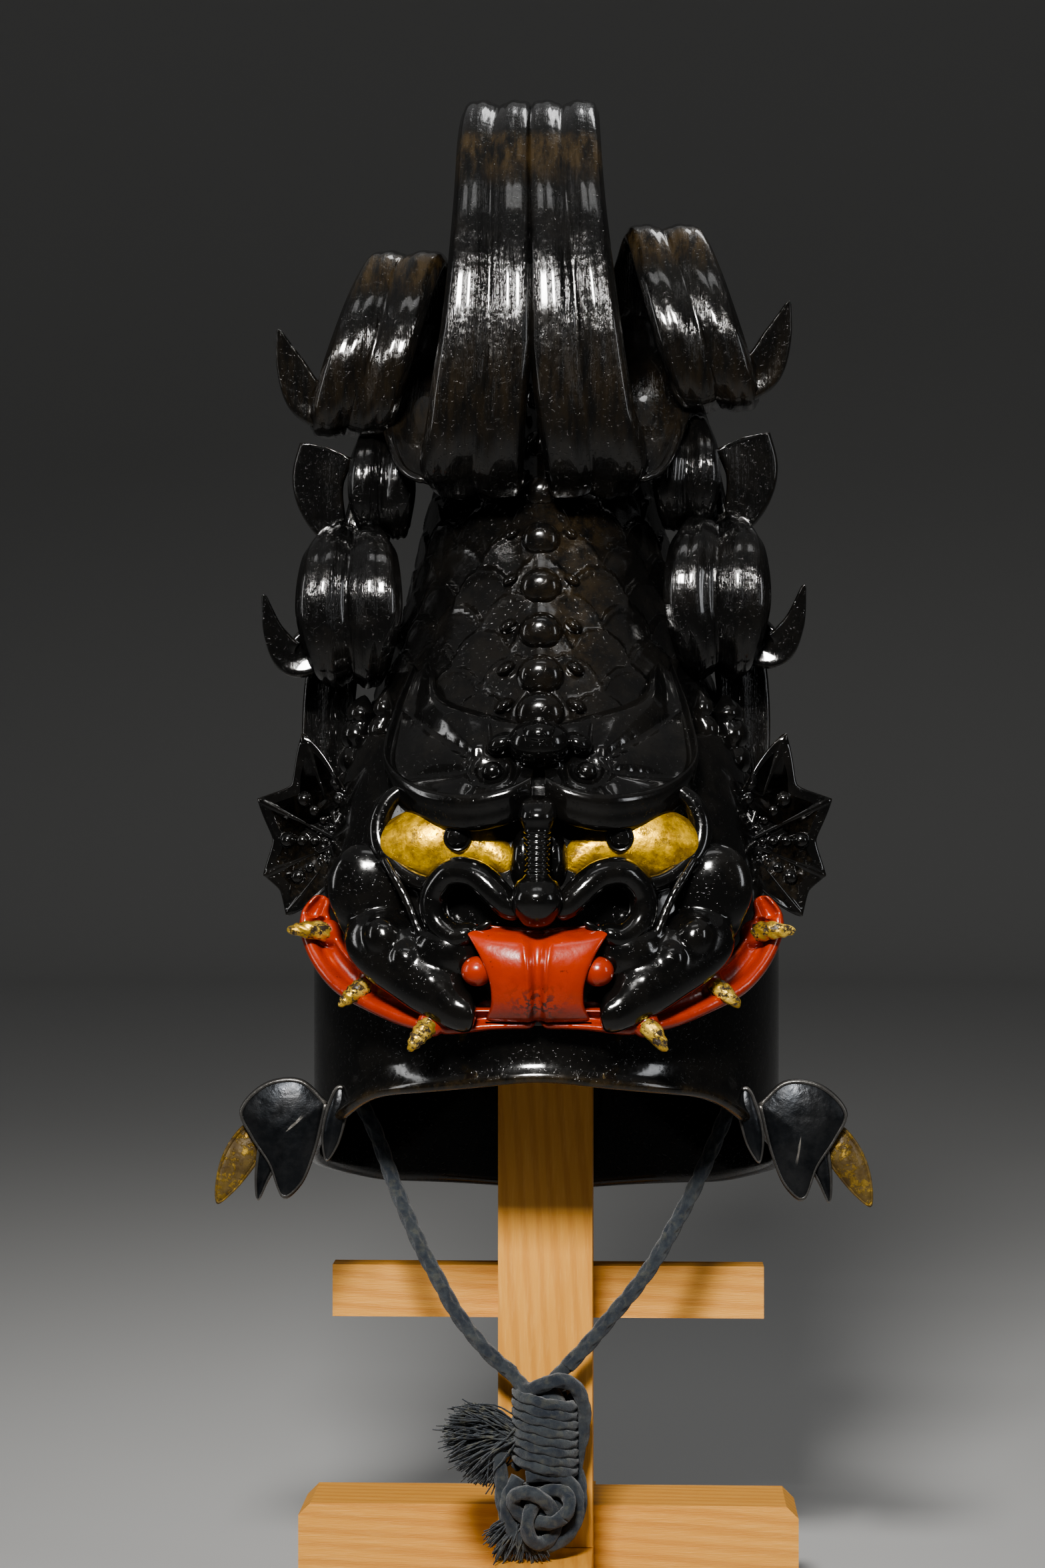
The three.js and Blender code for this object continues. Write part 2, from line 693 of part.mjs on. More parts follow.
function makeEar(sign) {
  const root = face(EAR_ROOT.x, 0, EAR_ROOT.up);
  const flat = (x, up) => new THREE.Vector2((x * FACE_WIDTH) / 2 - root.x, face(0, 0, up).z - root.z);
  const shape = new THREE.Shape();
  const top = flat(EAR_TOP.x, EAR_TOP.up);
  shape.moveTo(top.x, top.y);
  EAR_RAYS.forEach((ray) => {
    const tip = flat(ray.tipX, ray.tipUp);
    shape.lineTo(tip.x, tip.y);
    const dip = flat(ray.dipX, ray.dipUp);
    shape.lineTo(dip.x, dip.y);
  });
  const low = flat(EAR_LOW.x, EAR_LOW.up);
  shape.lineTo(low.x, low.y);
  const web = new THREE.ExtrudeGeometry(shape, { depth: EAR_THICKNESS, bevelEnabled: false });
  web.translate(0, 0, -EAR_THICKNESS / 2).rotateX(Math.PI / 2);
  const rays = EAR_RAYS.map((ray) => {
    const tip = flat(ray.tipX, ray.tipUp);
    const line = new THREE.LineCurve3(new THREE.Vector3(0, 0, 0), new THREE.Vector3(tip.x, 0, tip.y));
    return swept(line, 2, BACK, (share) => {
      const size = mix(RAY_THICKNESS, RAY_THICKNESS * RAY_TAPER, share);
      return ovalSection(size * RAY_DEPTH, size, 4);
    });
  });
  const ear = union(solidOf(web), ...rays);
  const placed = ear.rotate([0, 0, EAR_SWEEP]).translate([root.x, -EAR_SETBACK, root.z]);
  return sign > 0 ? placed : placed.mirror([1, 0, 0]);
}

const RIDGE = [
  { x: 0.88, up: 0.98, size: 0.5 },
  { x: 0.9, up: 1.08, size: 1 },
  { x: 0.88, up: 1.15, size: 0.7 },
  { x: 0.89, up: 1.23, size: 1 },
  { x: 0.86, up: 1.3, size: 0.7 },
  { x: 0.87, up: 1.38, size: 0.95 },
  { x: 0.84, up: 1.45, size: 0.6 },
  { x: 0.85, up: 1.51, size: 0.2 },
];
const RIDGE_SETBACK = 42;
const RIDGE_DEPTH = 1.3;

function makeRidge(sign) {
  const place = ({ x, up }) => face(sign * x, 0, up).setY(-RIDGE_SETBACK);
  return swept(smooth(RIDGE.map(place)), 8, BACK, (share) => {
    const size = along(RIDGE, "size", share) * RIDGE_THICKNESS;
    return ovalSection(size * RIDGE_DEPTH, size, 6);
  });
}

// Tail and side fins

// A place in the tail: shares across, forward and up
function tail(across, forward, up, raise = 0) {
  const x = (across * TAIL_SPREAD) / 2;
  return new THREE.Vector3(x, -forward * TAIL_REACH, TAIL_Z + up * TAIL_HEIGHT + raise);
}

const TAIL_BAND = [
  { x: 0, forward: -0.62, up: 0.5, width: 0.6 },
  { x: -0.02, forward: -0.72, up: 0.66, width: 0.6 },
  { x: -0.04, forward: -0.62, up: 0.84, width: 0.62 },
  { x: -0.06, forward: -0.32, up: 0.95, width: 0.64 },
  { x: -0.07, forward: 0.05, up: 0.972, width: 0.65 },
  { x: -0.07, forward: 0.42, up: 0.91, width: 0.67 },
  { x: -0.06, forward: 0.68, up: 0.78, width: 0.71 },
  { x: -0.05, forward: 0.79, up: 0.62, width: 0.81 },
  { x: -0.05, forward: 0.77, up: 0.47, width: 0.95 },
  { x: -0.04, forward: 0.64, up: 0.39, width: 1.06 },
  { x: -0.04, forward: 0.47, up: 0.365, width: 0.92 },
  { x: -0.04, forward: 0.34, up: 0.39, width: 0.66 },
];

// The band's lower corners run back up to the body as two webs
const TAIL_WEB = [
  { x: 0.4, forward: 0.6, up: 0.37, width: 0.12 },
  { x: 0.53, forward: 0.5, up: 0.41, width: 0.22 },
  { x: 0.6, forward: 0.28, up: 0.5, width: 0.3 },
  { x: 0.54, forward: -0.1, up: 0.59, width: 0.34 },
  { x: 0.36, forward: -0.5, up: 0.64, width: 0.3 },
];
const BAND_RIDGES = 5;
const SLIT = { x: -0.05, top: 0.57, foot: 0.3 };
const FIN_SHIFT = -0.05;

function ribbon(rows, { steps, sign = 1, raise = 0, width, thickness, ridges, shift = 0 }) {
  const curve = smooth(rows.map((row) => tail(sign * row.x + shift, row.forward, row.up, raise)));
  return swept(curve, steps, ACROSS, (share) =>
    flutedSection(along(rows, "width", share) * width, thickness, ridges));
}

// A flat leaf whose faces look forward and back
function leafHook(rows, width, sign, raise) {
  const place = (row) => tail(sign * row.x + FIN_SHIFT, row.forward, row.up, raise);
  return swept(smooth(rows.map(place)), 4, BACK, (share) =>
    ovalSection(FIN_THICKNESS, along(rows, "width", share) * width, 6));
}

function makeTailCentre() {
  const shape = { width: BAND_WIDTH, thickness: TAIL_THICKNESS, ridges: BAND_RIDGES };
  const band = ribbon(TAIL_BAND, { ...shape, steps: 19 });
  const webs = SIDES.map(({ sign }) => leafHook(TAIL_WEB, BAND_WIDTH, sign, 0));
  const apex = tail(SLIT.x, 0, SLIT.top);
  const foot = tail(SLIT.x, 0, SLIT.foot);
  const wedge = new THREE.Shape();
  wedge.moveTo(apex.x, apex.z);
  wedge.lineTo(foot.x - SLIT_WIDTH / 2, foot.z);
  wedge.lineTo(foot.x + SLIT_WIDTH / 2, foot.z);
  wedge.closePath();
  const geometry = new THREE.ExtrudeGeometry(wedge, { depth: TAIL_REACH, bevelEnabled: false });
  return largest(union(band.subtract(solidOf(geometry.rotateX(Math.PI / 2))), ...webs));
}

const LOBE = [
  { x: 0.3, forward: -0.6, up: 0.47, width: 0.85 },
  { x: 0.44, forward: -0.56, up: 0.58, width: 0.95 },
  { x: 0.55, forward: -0.36, up: 0.69, width: 0.925 },
  { x: 0.6, forward: -0.08, up: 0.735, width: 0.9 },
  { x: 0.63, forward: 0.2, up: 0.72, width: 0.925 },
  { x: 0.69, forward: 0.4, up: 0.65, width: 0.975 },
  { x: 0.78, forward: 0.48, up: 0.55, width: 1 },
  { x: 0.86, forward: 0.4, up: 0.475, width: 0.975 },
  { x: 0.9, forward: 0.22, up: 0.46, width: 0.85 },
];

const LOBE_HOOK = [
  { x: 0.98, forward: 0.4, up: 0.5, width: 0.65 },
  { x: 1.08, forward: 0.42, up: 0.51, width: 0.55 },
  { x: 1.15, forward: 0.44, up: 0.56, width: 0.325 },
  { x: 1.2, forward: 0.46, up: 0.61, width: 0.05 },
];

const FIN_STRIP = [
  { x: 0.96, forward: 0.2, up: -0.2, width: 0.48 },
  { x: 1.0, forward: 0.1, up: -0.04, width: 0.5 },
  { x: 0.98, forward: 0.02, up: 0.08, width: 0.5 },
  { x: 0.9, forward: -0.02, up: 0.2, width: 0.48 },
  { x: 0.8, forward: -0.06, up: 0.34, width: 0.48 },
  { x: 0.7, forward: -0.2, up: 0.48, width: 0.5 },
  { x: 0.56, forward: -0.42, up: 0.56, width: 0.54 },
];

const FIN_LOW = [
  { x: 0.86, forward: 0.02, up: 0.12, width: 0.8 },
  { x: 0.86, forward: 0.1, up: 0.22, width: 0.88 },
  { x: 0.86, forward: 0.28, up: 0.277, width: 0.88 },
  { x: 0.86, forward: 0.47, up: 0.245, width: 0.92 },
  { x: 0.86, forward: 0.54, up: 0.165, width: 0.92 },
  { x: 0.86, forward: 0.45, up: 0.085, width: 0.88 },
  { x: 0.86, forward: 0.28, up: 0.075, width: 0.76 },
];

const FIN_LOW_HOOK = [
  { x: 1.02, forward: 0.4, up: 0.115, width: 0.52 },
  { x: 1.14, forward: 0.42, up: 0.1, width: 0.44 },
  { x: 1.22, forward: 0.44, up: 0.135, width: 0.22 },
  { x: 1.27, forward: 0.46, up: 0.195, width: 0.04 },
];

const FIN_HIGH = [
  { x: 0.72, forward: 0.02, up: 0.34, width: 0.54 },
  { x: 0.72, forward: 0.08, up: 0.41, width: 0.58 },
  { x: 0.72, forward: 0.2, up: 0.44, width: 0.58 },
  { x: 0.72, forward: 0.33, up: 0.41, width: 0.6 },
  { x: 0.72, forward: 0.36, up: 0.355, width: 0.6 },
  { x: 0.72, forward: 0.27, up: 0.31, width: 0.56 },
  { x: 0.72, forward: 0.14, up: 0.315, width: 0.52 },
];

const FIN_HIGH_CUP = [
  { x: 0.84, forward: 0.2, up: 0.35, width: 0.52 },
  { x: 0.95, forward: 0.24, up: 0.33, width: 0.5 },
  { x: 1.04, forward: 0.26, up: 0.37, width: 0.44 },
  { x: 1.08, forward: 0.28, up: 0.43, width: 0.2 },
];

function makeLobe({ sign, tail: raise }) {
  const form = { sign, raise, thickness: LOBE_THICKNESS, ridges: 2, shift: FIN_SHIFT };
  const lobe = ribbon(LOBE, { ...form, width: LOBE_WIDTH, steps: 9 });
  return union(lobe, leafHook(LOBE_HOOK, LOBE_WIDTH, sign, raise));
}

function makeSideFin({ sign, fin: raise }) {
  const place = { sign, raise, shift: FIN_SHIFT };
  const form = { ...place, width: FIN_WIDTH, thickness: FIN_THICKNESS, ridges: 2 };
  return union(
    ribbon(FIN_STRIP, { ...form, steps: 5, ridges: 1 }),
    ribbon(FIN_LOW, { ...form, steps: 7 }),
    ribbon(FIN_HIGH, { ...form, steps: 6 }),
    leafHook(FIN_LOW_HOOK, FIN_WIDTH, sign, raise),
    leafHook(FIN_HIGH_CUP, FIN_WIDTH, sign, raise),
  );
}

// Metal leaves fan out and down from the rim's front corners, one behind the other

const LEAVES = [
  { name: "dark", material: "metal", back: 0, points: [
    [0.99, 0.66], [1.12, 0.77], [1.29, 0.75], [1.41, 0.62], [1.36, 0.5], [1.27, 0.36],
    [1.2, 0.2], [1.12, 0.26], [1.05, 0.42]] },
  { name: "inner", material: "metal", back: -1, points: [
    [0.88, 0.72], [0.94, 0.74], [0.985, 0.66], [1.02, 0.5], [1.0, 0.38], [0.95, 0.45], [0.91, 0.58]] },
  { name: "spike", material: "metal", back: 1, points: [
    [1.2, 0.5], [1.29, 0.5], [1.33, 0.36], [1.325, 0.19], [1.28, 0.28], [1.22, 0.4]] },
  { name: "gold", material: "gold", back: 2, points: [
    [1.28, 0.5], [1.36, 0.56], [1.46, 0.46], [1.53, 0.3], [1.53, 0.17], [1.45, 0.22],
    [1.35, 0.34], [1.3, 0.42]] },
];
const LEAF_Z = RIM_LIFT;

function makeLeaf(sign, { back, points }) {
  const corners = points.map(([x, up]) => new THREE.Vector2(x * LEAF_SPREAD, up * LEAF_HEIGHT));
  const shape = new THREE.Shape(corners);
  const leaf = new THREE.ExtrudeGeometry(shape, { depth: LEAF_THICKNESS, bevelEnabled: false });
  leaf.rotateX(Math.PI / 2).translate(0, -LEAF_SETBACK + back * (LEAF_THICKNESS + GAP), LEAF_Z);
  const solid = solidOf(leaf);
  return sign > 0 ? solid : solid.mirror([1, 0, 0]);
}

// Chin cord: two stretches from inside the bowl to the knot in front of the post

const KNOT_Y = -(POST_SIDE / 2 + GAP + KNOT_WIDTH / 2);
const KNOT_X = -3;
const KNOT_DEPTH = 0.9;
const KNOT_SIDES = 10;

const CORD_ROUTES = {
  left: [[-104, -26, 306], [-99, -29, 286], [-90, -34, 264], [-80, -38, 245], [-72, -41, 224],
    [-65, -42, 207], [-58, -42, 191], [-50, -42, 176], [-42, -41, 161], [-33, -41, 149],
    [-24, -41, 139], [-15, -41, 131.5]],
  right: [[104, -26, 310], [100, -29, 290], [92, -33, 269], [84, -37, 249], [77, -40, 233],
    [70, -41, 218], [61, -42, 201], [52, -42, 185], [42, -42, 171], [32, -41, 159],
    [22, -41, 147], [11, -41, 135]],
};

function makeCord(side) {
  const curve = smooth(CORD_ROUTES[side].map((point) => new THREE.Vector3(...point)));
  const circle = new THREE.Shape(ovalSection(CORD_DIAMETER, CORD_DIAMETER, CORD_SIDES)
    .map(([x, y]) => new THREE.Vector2(x, y)));
  const options = { steps: CORD_STEPS, extrudePath: curve, bevelEnabled: false };
  return solidOf(new THREE.ExtrudeGeometry(circle, options));
}

const KNOT = [
  { up: 0, half: 0.45 },
  { up: 0.08, half: 0.85 },
  { up: 0.22, half: 1 },
  { up: 0.38, half: 0.86 },
  { up: 0.46, half: 0.74 },
  { up: 0.62, half: 0.78 },
  { up: 0.82, half: 0.8 },
  { up: 0.93, half: 0.74 },
  { up: 1, half: 0.5 },
];

function makeKnot() {
  return loft(KNOT.map(({ up, half }) => {
    const size = (half * KNOT_WIDTH) / 2;
    const z = KNOT_LIFT + up * KNOT_HEIGHT;
    const deep = size * KNOT_DEPTH;
    return oval(KNOT_SIDES, size, KNOT_Y - deep, KNOT_Y + deep, z, 2, KNOT_X);
  }));
}

// A tassel is a bundle of locks, thin at the knot and spread at its frayed end
const TASSELS = [
  { name: "tassel_side", x: -0.25, up: 0.62, tipX: -1.22, tipUp: 0.66 },
  { name: "tassel_bottom", x: -0.1, up: 0.1, tipX: -0.34, tipUp: -0.02 },
];
const LOCKS = 4;
const LOCK = { overlap: 1.35, head: 0.8, end: 1.4, flatness: 0.73 };

function makeTassel({ x, up, tipX, tipUp }) {
  const place = (across, rise) =>
    new THREE.Vector3(KNOT_X + across * KNOT_WIDTH, KNOT_Y, KNOT_LIFT + rise * KNOT_HEIGHT);
  const from = place(x, up);
  const to = place(tipX, tipUp);
  const side = to.clone().sub(from).cross(BACK).normalize();
  const lockWidth = (TASSEL_SPREAD / LOCKS) * LOCK.overlap;
  return union(...Array.from({ length: LOCKS }, (_, i) => {
    const share = (i / (LOCKS - 1)) * 2 - 1;
    const end = to.clone().addScaledVector(side, (share * TASSEL_SPREAD) / 2);
    return swept(new THREE.LineCurve3(from, end), 2, BACK, (way) => {
      const size = mix(LOCK.head, LOCK.end, way) * lockWidth;
      return ovalSection(size, size * LOCK.flatness, 5);
    });
  }));
}

// Stand

// The post carries the bowl at the flat of its crown
function makePost() {
  const top = SHOULDER_Z + (DOME_HEIGHT - BOWL_WALL) * Math.max(...DOME_STEPS) - GAP;
  const foot = FOOT_HEIGHT + GAP;
  return box(POST_SIDE, POST_SIDE, top - foot, 0, 0, foot);
}

const BOARD_Y = POST_SIDE / 2 + GAP + BOARD_DEPTH / 2;
const LAP_Z = FOOT_HEIGHT / 2;
const OVERRUN = 10;

function makeBoard() {
  const shape = new THREE.Shape();
  const half = BOARD_LENGTH / 2;
  shape.moveTo(-half, 0);
  shape.lineTo(half, 0);
  shape.lineTo(half, BOARD_HEIGHT - BOARD_CHAMFER);
  shape.lineTo(half - BOARD_CHAMFER, BOARD_HEIGHT);
  shape.lineTo(-half + BOARD_CHAMFER, BOARD_HEIGHT);
  shape.lineTo(-half, BOARD_HEIGHT - BOARD_CHAMFER);
  const geometry = new THREE.ExtrudeGeometry(shape, { depth: BOARD_DEPTH, bevelEnabled: false });
  const board = solidOf(geometry.rotateX(Math.PI / 2).translate(0, BOARD_Y + BOARD_DEPTH / 2, 0));
  const notchHeight = OVERRUN + LAP_Z + GAP;
  return board.subtract(box(POST_SIDE + 2 * GAP, 2 * BOARD_DEPTH, notchHeight, 0, BOARD_Y, -OVERRUN));
}

function makeFoot() {
  const foot = box(POST_SIDE, FOOT_LENGTH, FOOT_HEIGHT, 0, 0, 0);
  return foot.subtract(box(2 * POST_SIDE, BOARD_DEPTH + 2 * GAP, FOOT_HEIGHT, 0, BOARD_Y, LAP_Z));
}

function makeBar() {
  return box(BAR_LENGTH, BAR_DEPTH, BAR_HEIGHT, 0, POST_SIDE / 2 + GAP + BAR_DEPTH / 2, BAR_LIFT);
}

// Assembly

const helmet = new THREE.Group();

function add(name, solid, material) {
  const { vertProperties, triVerts } = solid.getMesh();
  const geometry = new THREE.BufferGeometry();
  geometry.setAttribute("position", new THREE.Float32BufferAttribute(vertProperties, 3));
  geometry.setIndex(new THREE.Uint32BufferAttribute(triVerts, 1));
  geometry.computeVertexNormals();
  const mesh = new THREE.Mesh(geometry, MATERIALS[material]);
  mesh.name = name;
  helmet.add(mesh);
  return solid;
}

const bowlBlock = makeBowlBlock();
const bowl = add("helmet_bowl", makeBowl(), "lacquer");
const head = fitted(union(makeHeadBlock(), makeForeheadKnob()), bowlBlock);
add("head", head, "lacquer");
const body = fitted(union(makeBodyBlock(), ...makeKnobs()), bowlBlock, head);

const tailCentre = add("tail_centre", fitted(makeTailCentre(), body), "lacquer");
add("fish_body", body, "lacquer");
const nose = fitted(makeNose(), head);
add("nose", nose, "lacquer");
const lip = fitted(makeLip(), head, nose);
add("upper_lip", lip, "vermilion");

// Each mouth band keeps to its own half of the face
const HALF = new THREE.Vector3(2 * FACE_WIDTH, 2 * BOWL_DEPTH, 2 * FACE_HEIGHT);

for (const side of SIDES) {
  const { name, sign } = side;
  const brow = fitted(makeBrow(sign), head, body, nose);
  add(`brow_plate_${name}`, brow, "lacquer");
  const eye = fitted(makeEye(sign), head, brow, nose);
  add(`eye_${name}`, eye, "gold");
  add(`pupil_${name}`, fitted(makePupil(sign), eye, brow), "lacquer");
  const nostril = fitted(makeNostril(sign), head, nose, eye, lip);
  add(`nostril_${name}`, nostril, "lacquer");
  const cheek = fitted(makeCheek(sign), head, bowlBlock, eye, nostril, lip);
  add(`cheek_${name}`, cheek, "lacquer");
  const lipBall = fitted(makeLipBall(sign), head, lip, cheek, nostril);
  add(`lip_ball_${name}`, lipBall, "vermilion");
  const halfX = (sign * (HALF.x + GAP)) / 2;
  const halfSpace = box(HALF.x, HALF.y, HALF.z, halfX, 0, FACE_Z - FACE_HEIGHT);
  const band = makeBand(sign).intersect(halfSpace);
  const mouth = fitted(band, head, bowlBlock, lip, cheek, lipBall);
  add(`mouth_band_${name}`, mouth, "vermilion");
  for (const row of TEETH) {
    const tooth = fitted(makeTooth(sign, row), mouth, cheek, head, bowlBlock, lip);
    add(`tooth_${row.name}_${name}`, tooth, "gold");
  }
  const ear = fitted(makeEar(sign), head, bowlBlock, body, cheek, mouth);
  add(`ear_${name}`, ear, "lacquer");
  const ridge = fitted(makeRidge(sign), head, body, bowlBlock, ear);
  add(`gill_ridge_${name}`, ridge, "lacquer");
  const lobe = fitted(makeLobe(side), body, tailCentre);
  add(`tail_lobe_${name}`, lobe, "lacquer");
  const fin = fitted(makeSideFin(side), body, head, bowlBlock, ear, ridge, lobe, tailCentre);
  add(`side_fin_${name}`, fin, "lacquer");
  for (const leaf of LEAVES) {
    add(`leaf_${leaf.name}_${name}`, fitted(makeLeaf(sign, leaf), bowlBlock), leaf.material);
  }
}

const foot = add("foot_board", makeFoot(), "pine");
const knot = add("cord_knot", makeKnot(), "cord");
for (const { name } of SIDES) add(`chin_cord_${name}`, fitted(makeCord(name), knot, bowl), "cord");
for (const row of TASSELS) add(row.name, fitted(makeTassel(row), knot, foot), "cord");

add("stand_post", makePost(), "pine");
add("cross_bar", makeBar(), "pine");
add("base_board", makeBoard(), "pine");

export default helmet;
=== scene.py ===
import math

import bmesh
import bpy
import numpy as np
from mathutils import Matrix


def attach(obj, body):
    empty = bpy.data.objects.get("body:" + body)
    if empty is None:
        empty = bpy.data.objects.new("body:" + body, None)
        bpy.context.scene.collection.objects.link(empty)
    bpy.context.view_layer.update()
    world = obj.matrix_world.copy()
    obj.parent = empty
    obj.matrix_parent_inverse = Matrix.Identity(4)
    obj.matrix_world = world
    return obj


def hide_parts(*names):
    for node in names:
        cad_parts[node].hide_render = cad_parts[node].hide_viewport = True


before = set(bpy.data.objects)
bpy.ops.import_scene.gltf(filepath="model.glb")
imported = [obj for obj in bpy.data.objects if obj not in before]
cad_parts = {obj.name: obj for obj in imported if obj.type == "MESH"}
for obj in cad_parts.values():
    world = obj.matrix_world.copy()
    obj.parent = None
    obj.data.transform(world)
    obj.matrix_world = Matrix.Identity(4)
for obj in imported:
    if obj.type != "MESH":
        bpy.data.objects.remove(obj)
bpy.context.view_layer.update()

MM = 0.001
BACK = np.array([0.0, 1.0, 0.0])
ACROSS = np.array([1.0, 0.0, 0.0])

# Driving sizes, the same as in the solids
RIM_LIFT, RIM_ARCH = 196, 82
BOWL_WIDTH, BOWL_DEPTH, BOWL_HEIGHT = 224, 256, 224
DOME_HEIGHT, DOME_POWER, BOWL_WALL, RIM_ROLL = 90, 2.3, 3, 3.5
FACE_WIDTH, FACE_HEIGHT, FACE_RELIEF = 200, 100, 40
BODY_WIDTH, BODY_DEPTH, BODY_HEIGHT, BODY_LEAN = 190, 224, 318, 6
TAIL_SPREAD, TAIL_REACH, TAIL_HEIGHT = 200, 100, 300
BAND_WIDTH, LOBE_WIDTH, FIN_WIDTH = 100, 40, 50
POST_SIDE = 45
SHOULDER_Z = RIM_LIFT + BOWL_HEIGHT - DOME_HEIGHT
FACE_Z, BODY_Z, TAIL_Z = RIM_LIFT + 104, RIM_LIFT + 176, RIM_LIFT + 244
FIN_SHIFT = -0.05

SIDES = {"left": -1, "right": 1}
FIN_LIFT, LOBE_LIFT = {"left": 0, "right": 4}, {"left": 0, "right": 12}
RANDOM_SEED = 11
rng = np.random.default_rng(RANDOM_SEED)


# Tables and curves

def table(names, *rows):
    """Named columns as arrays."""
    return dict(zip(names.split(), np.array(rows, float).T))


def ticks(count):
    """Even shares from 0 to 1."""
    return np.linspace(0, 1, count)


def full_turn(count):
    """Even angles round a whole turn."""
    return np.linspace(0, 2 * math.pi, count, endpoint=False)


def mix(a, b, share):
    return a + (b - a) * share


def step(value, low, high):
    """0 below low, 1 above high, smooth between them."""
    t = np.clip((value - low) / (high - low), 0, 1)
    return t * t * (3 - 2 * t)


def bump(value, centre, width):
    return np.exp(-((value - centre) / width) ** 2)


def unit(vectors):
    return vectors / np.maximum(np.linalg.norm(vectors, axis=-1, keepdims=True), 1e-9)


def curve(points, shares, power=0.5):
    """A curve through points, read at shares of its way. Power 0.5 is centripetal, 0 uniform."""
    p = np.asarray(points, float)
    p = p.reshape(len(p), -1)
    p = np.vstack([2 * p[0] - p[1], p, 2 * p[-1] - p[-2]])
    place = np.clip(np.asarray(shares, float), 0, 1) * (len(p) - 3)
    low = np.minimum(place.astype(int), len(p) - 4)
    t = (place - low)[:, None]
    p0, p1, p2, p3 = (p[low + i] for i in range(4))

    def span(a, b):
        return np.maximum(np.linalg.norm(b - a, axis=1, keepdims=True), 1e-6) ** power

    a, b, c = span(p0, p1), span(p1, p2), span(p2, p3)
    start = b * ((p1 - p0) / a - (p2 - p0) / (a + b) + (p2 - p1) / b)
    end = b * ((p2 - p1) / b - (p3 - p1) / (b + c) + (p3 - p2) / c)
    return (p1 * (2 * t**3 - 3 * t**2 + 1) + start * (t**3 - 2 * t**2 + t)
            + p2 * (-2 * t**3 + 3 * t**2) + end * (t**3 - t**2))


def values(column, shares):
    return curve(column, shares, 0)[:, 0]


def read(rows, by, name, at):
    """A column as a smooth function of another column."""
    place = np.interp(at, rows[by], ticks(len(rows[by])))
    return values(rows[name], place)


def evenly(points, count):
    """A polyline's points spread evenly along it."""
    lengths = np.concatenate([[0], np.cumsum(np.linalg.norm(np.diff(points, axis=0), axis=1))])
    at = np.linspace(0, lengths[-1], count)
    return np.stack([np.interp(at, lengths, points[:, i]) for i in range(3)], 1)


# Shells: each is a pair of vertices and faces

def face(across, out, up):
    """Places on the face, from shares of its half width, its relief and its height."""
    across, out, up = np.broadcast_arrays(across, out, up)
    return np.stack([across * FACE_WIDTH / 2, -(BOWL_DEPTH / 2 + out * FACE_RELIEF),
                     FACE_Z + up * FACE_HEIGHT], -1).astype(float)


def tail(across, forward, up, lift=0):
    """Places on the tail, from shares of its half spread, its reach and its height."""
    across, forward, up = np.broadcast_arrays(across, forward, up)
    return np.stack([across * TAIL_SPREAD / 2, -forward * TAIL_REACH,
                     TAIL_Z + up * TAIL_HEIGHT + lift], -1).astype(float)


def frames(centre, held):
    """For each point of a curve, the way nearest to held and the way square to it."""
    tangent = unit(np.gradient(centre, axis=0))
    out = unit(np.cross(tangent, held))
    return unit(np.cross(out, tangent)), out


def sweep(centre, held, section):
    """A section for each point: its first number runs along held, its second square to it."""
    across, out = frames(centre, held)
    return centre[:, None] + section[..., :1] * across[:, None] + section[..., 1:] * out[:, None]


def turned(centre, held, radius, sides, deep=1.0):
    """A round tube's grid. Radius and deep are one number or one for each ring. Deep stretches it
    along held, and radius can also have one number for each vertex."""
    turn = full_turn(sides)[None]
    radius, deep = (np.asarray(v, float) for v in (radius, deep))
    radius = radius.reshape(-1, 1) if radius.ndim < 2 else radius
    size = np.broadcast_to(radius, (len(centre), sides))
    along, square = size * np.cos(turn) * deep.reshape(-1, 1), size * np.sin(turn)
    return sweep(centre, held, np.stack([along, square], -1))


def skin(grid, caps=True):
    """A closed skin over a grid of rings."""
    rings, sides = grid.shape[:2]
    index = np.arange(rings * sides).reshape(rings, sides)
    a, b = index[:-1], np.roll(index, -1, 1)[:-1]
    c, d = np.roll(index, -1, 1)[1:], index[1:]
    quads = np.stack([a, b, c, d], -1).reshape(-1, 4).tolist()
    points = grid.reshape(-1, 3)
    if caps:
        points = np.vstack([points, grid[0].mean(0), grid[-1].mean(0)])
        for ring, tip in ((index[0], len(points) - 2), (index[-1], len(points) - 1)):
            quads += [[int(i), int(j), tip] for i, j in zip(ring, np.roll(ring, -1))]
    return points, quads


def swollen(grid, height):
    """The grid moved out along its own normals."""
    along = np.gradient(grid, axis=0)
    around = np.roll(grid, -1, 1) - np.roll(grid, 1, 1)
    normal = unit(np.cross(along, around))
    centre = grid.mean(1, keepdims=True)
    if ((grid - centre) * normal).sum(-1).mean() < 0:
        normal = -normal
    return grid + normal * height[..., None]


def ends(share, length=0.06):
    """Rounds a sweep's two ends off."""
    near = np.clip(np.minimum(share, 1 - share) / length, 0, 1)
    return np.sqrt(np.maximum(1 - (1 - near) ** 2, 0.0004))


def ball(at, radii, sides=32, rings=20, tilt=0.0, power=1.0):
    """An ellipsoid, tilted in the plane that faces the front."""
    v = np.linspace(0.02, math.pi - 0.02, rings)[:, None]
    u = full_turn(sides)[None]
    x = np.sin(v) ** power * np.cos(u) * radii[0]
    y = -np.cos(v) * radii[1] + 0 * u
    z = np.sin(v) ** power * np.sin(u) * radii[2]
    c, s = math.cos(tilt), math.sin(tilt)
    grid = np.stack([x * c - z * s, y, x * s + z * c], -1) + np.asarray(at, float)
    return skin(grid)


def mirrored(shell, sign):
    points, faces = shell
    return points * np.array([sign, 1, 1]), faces


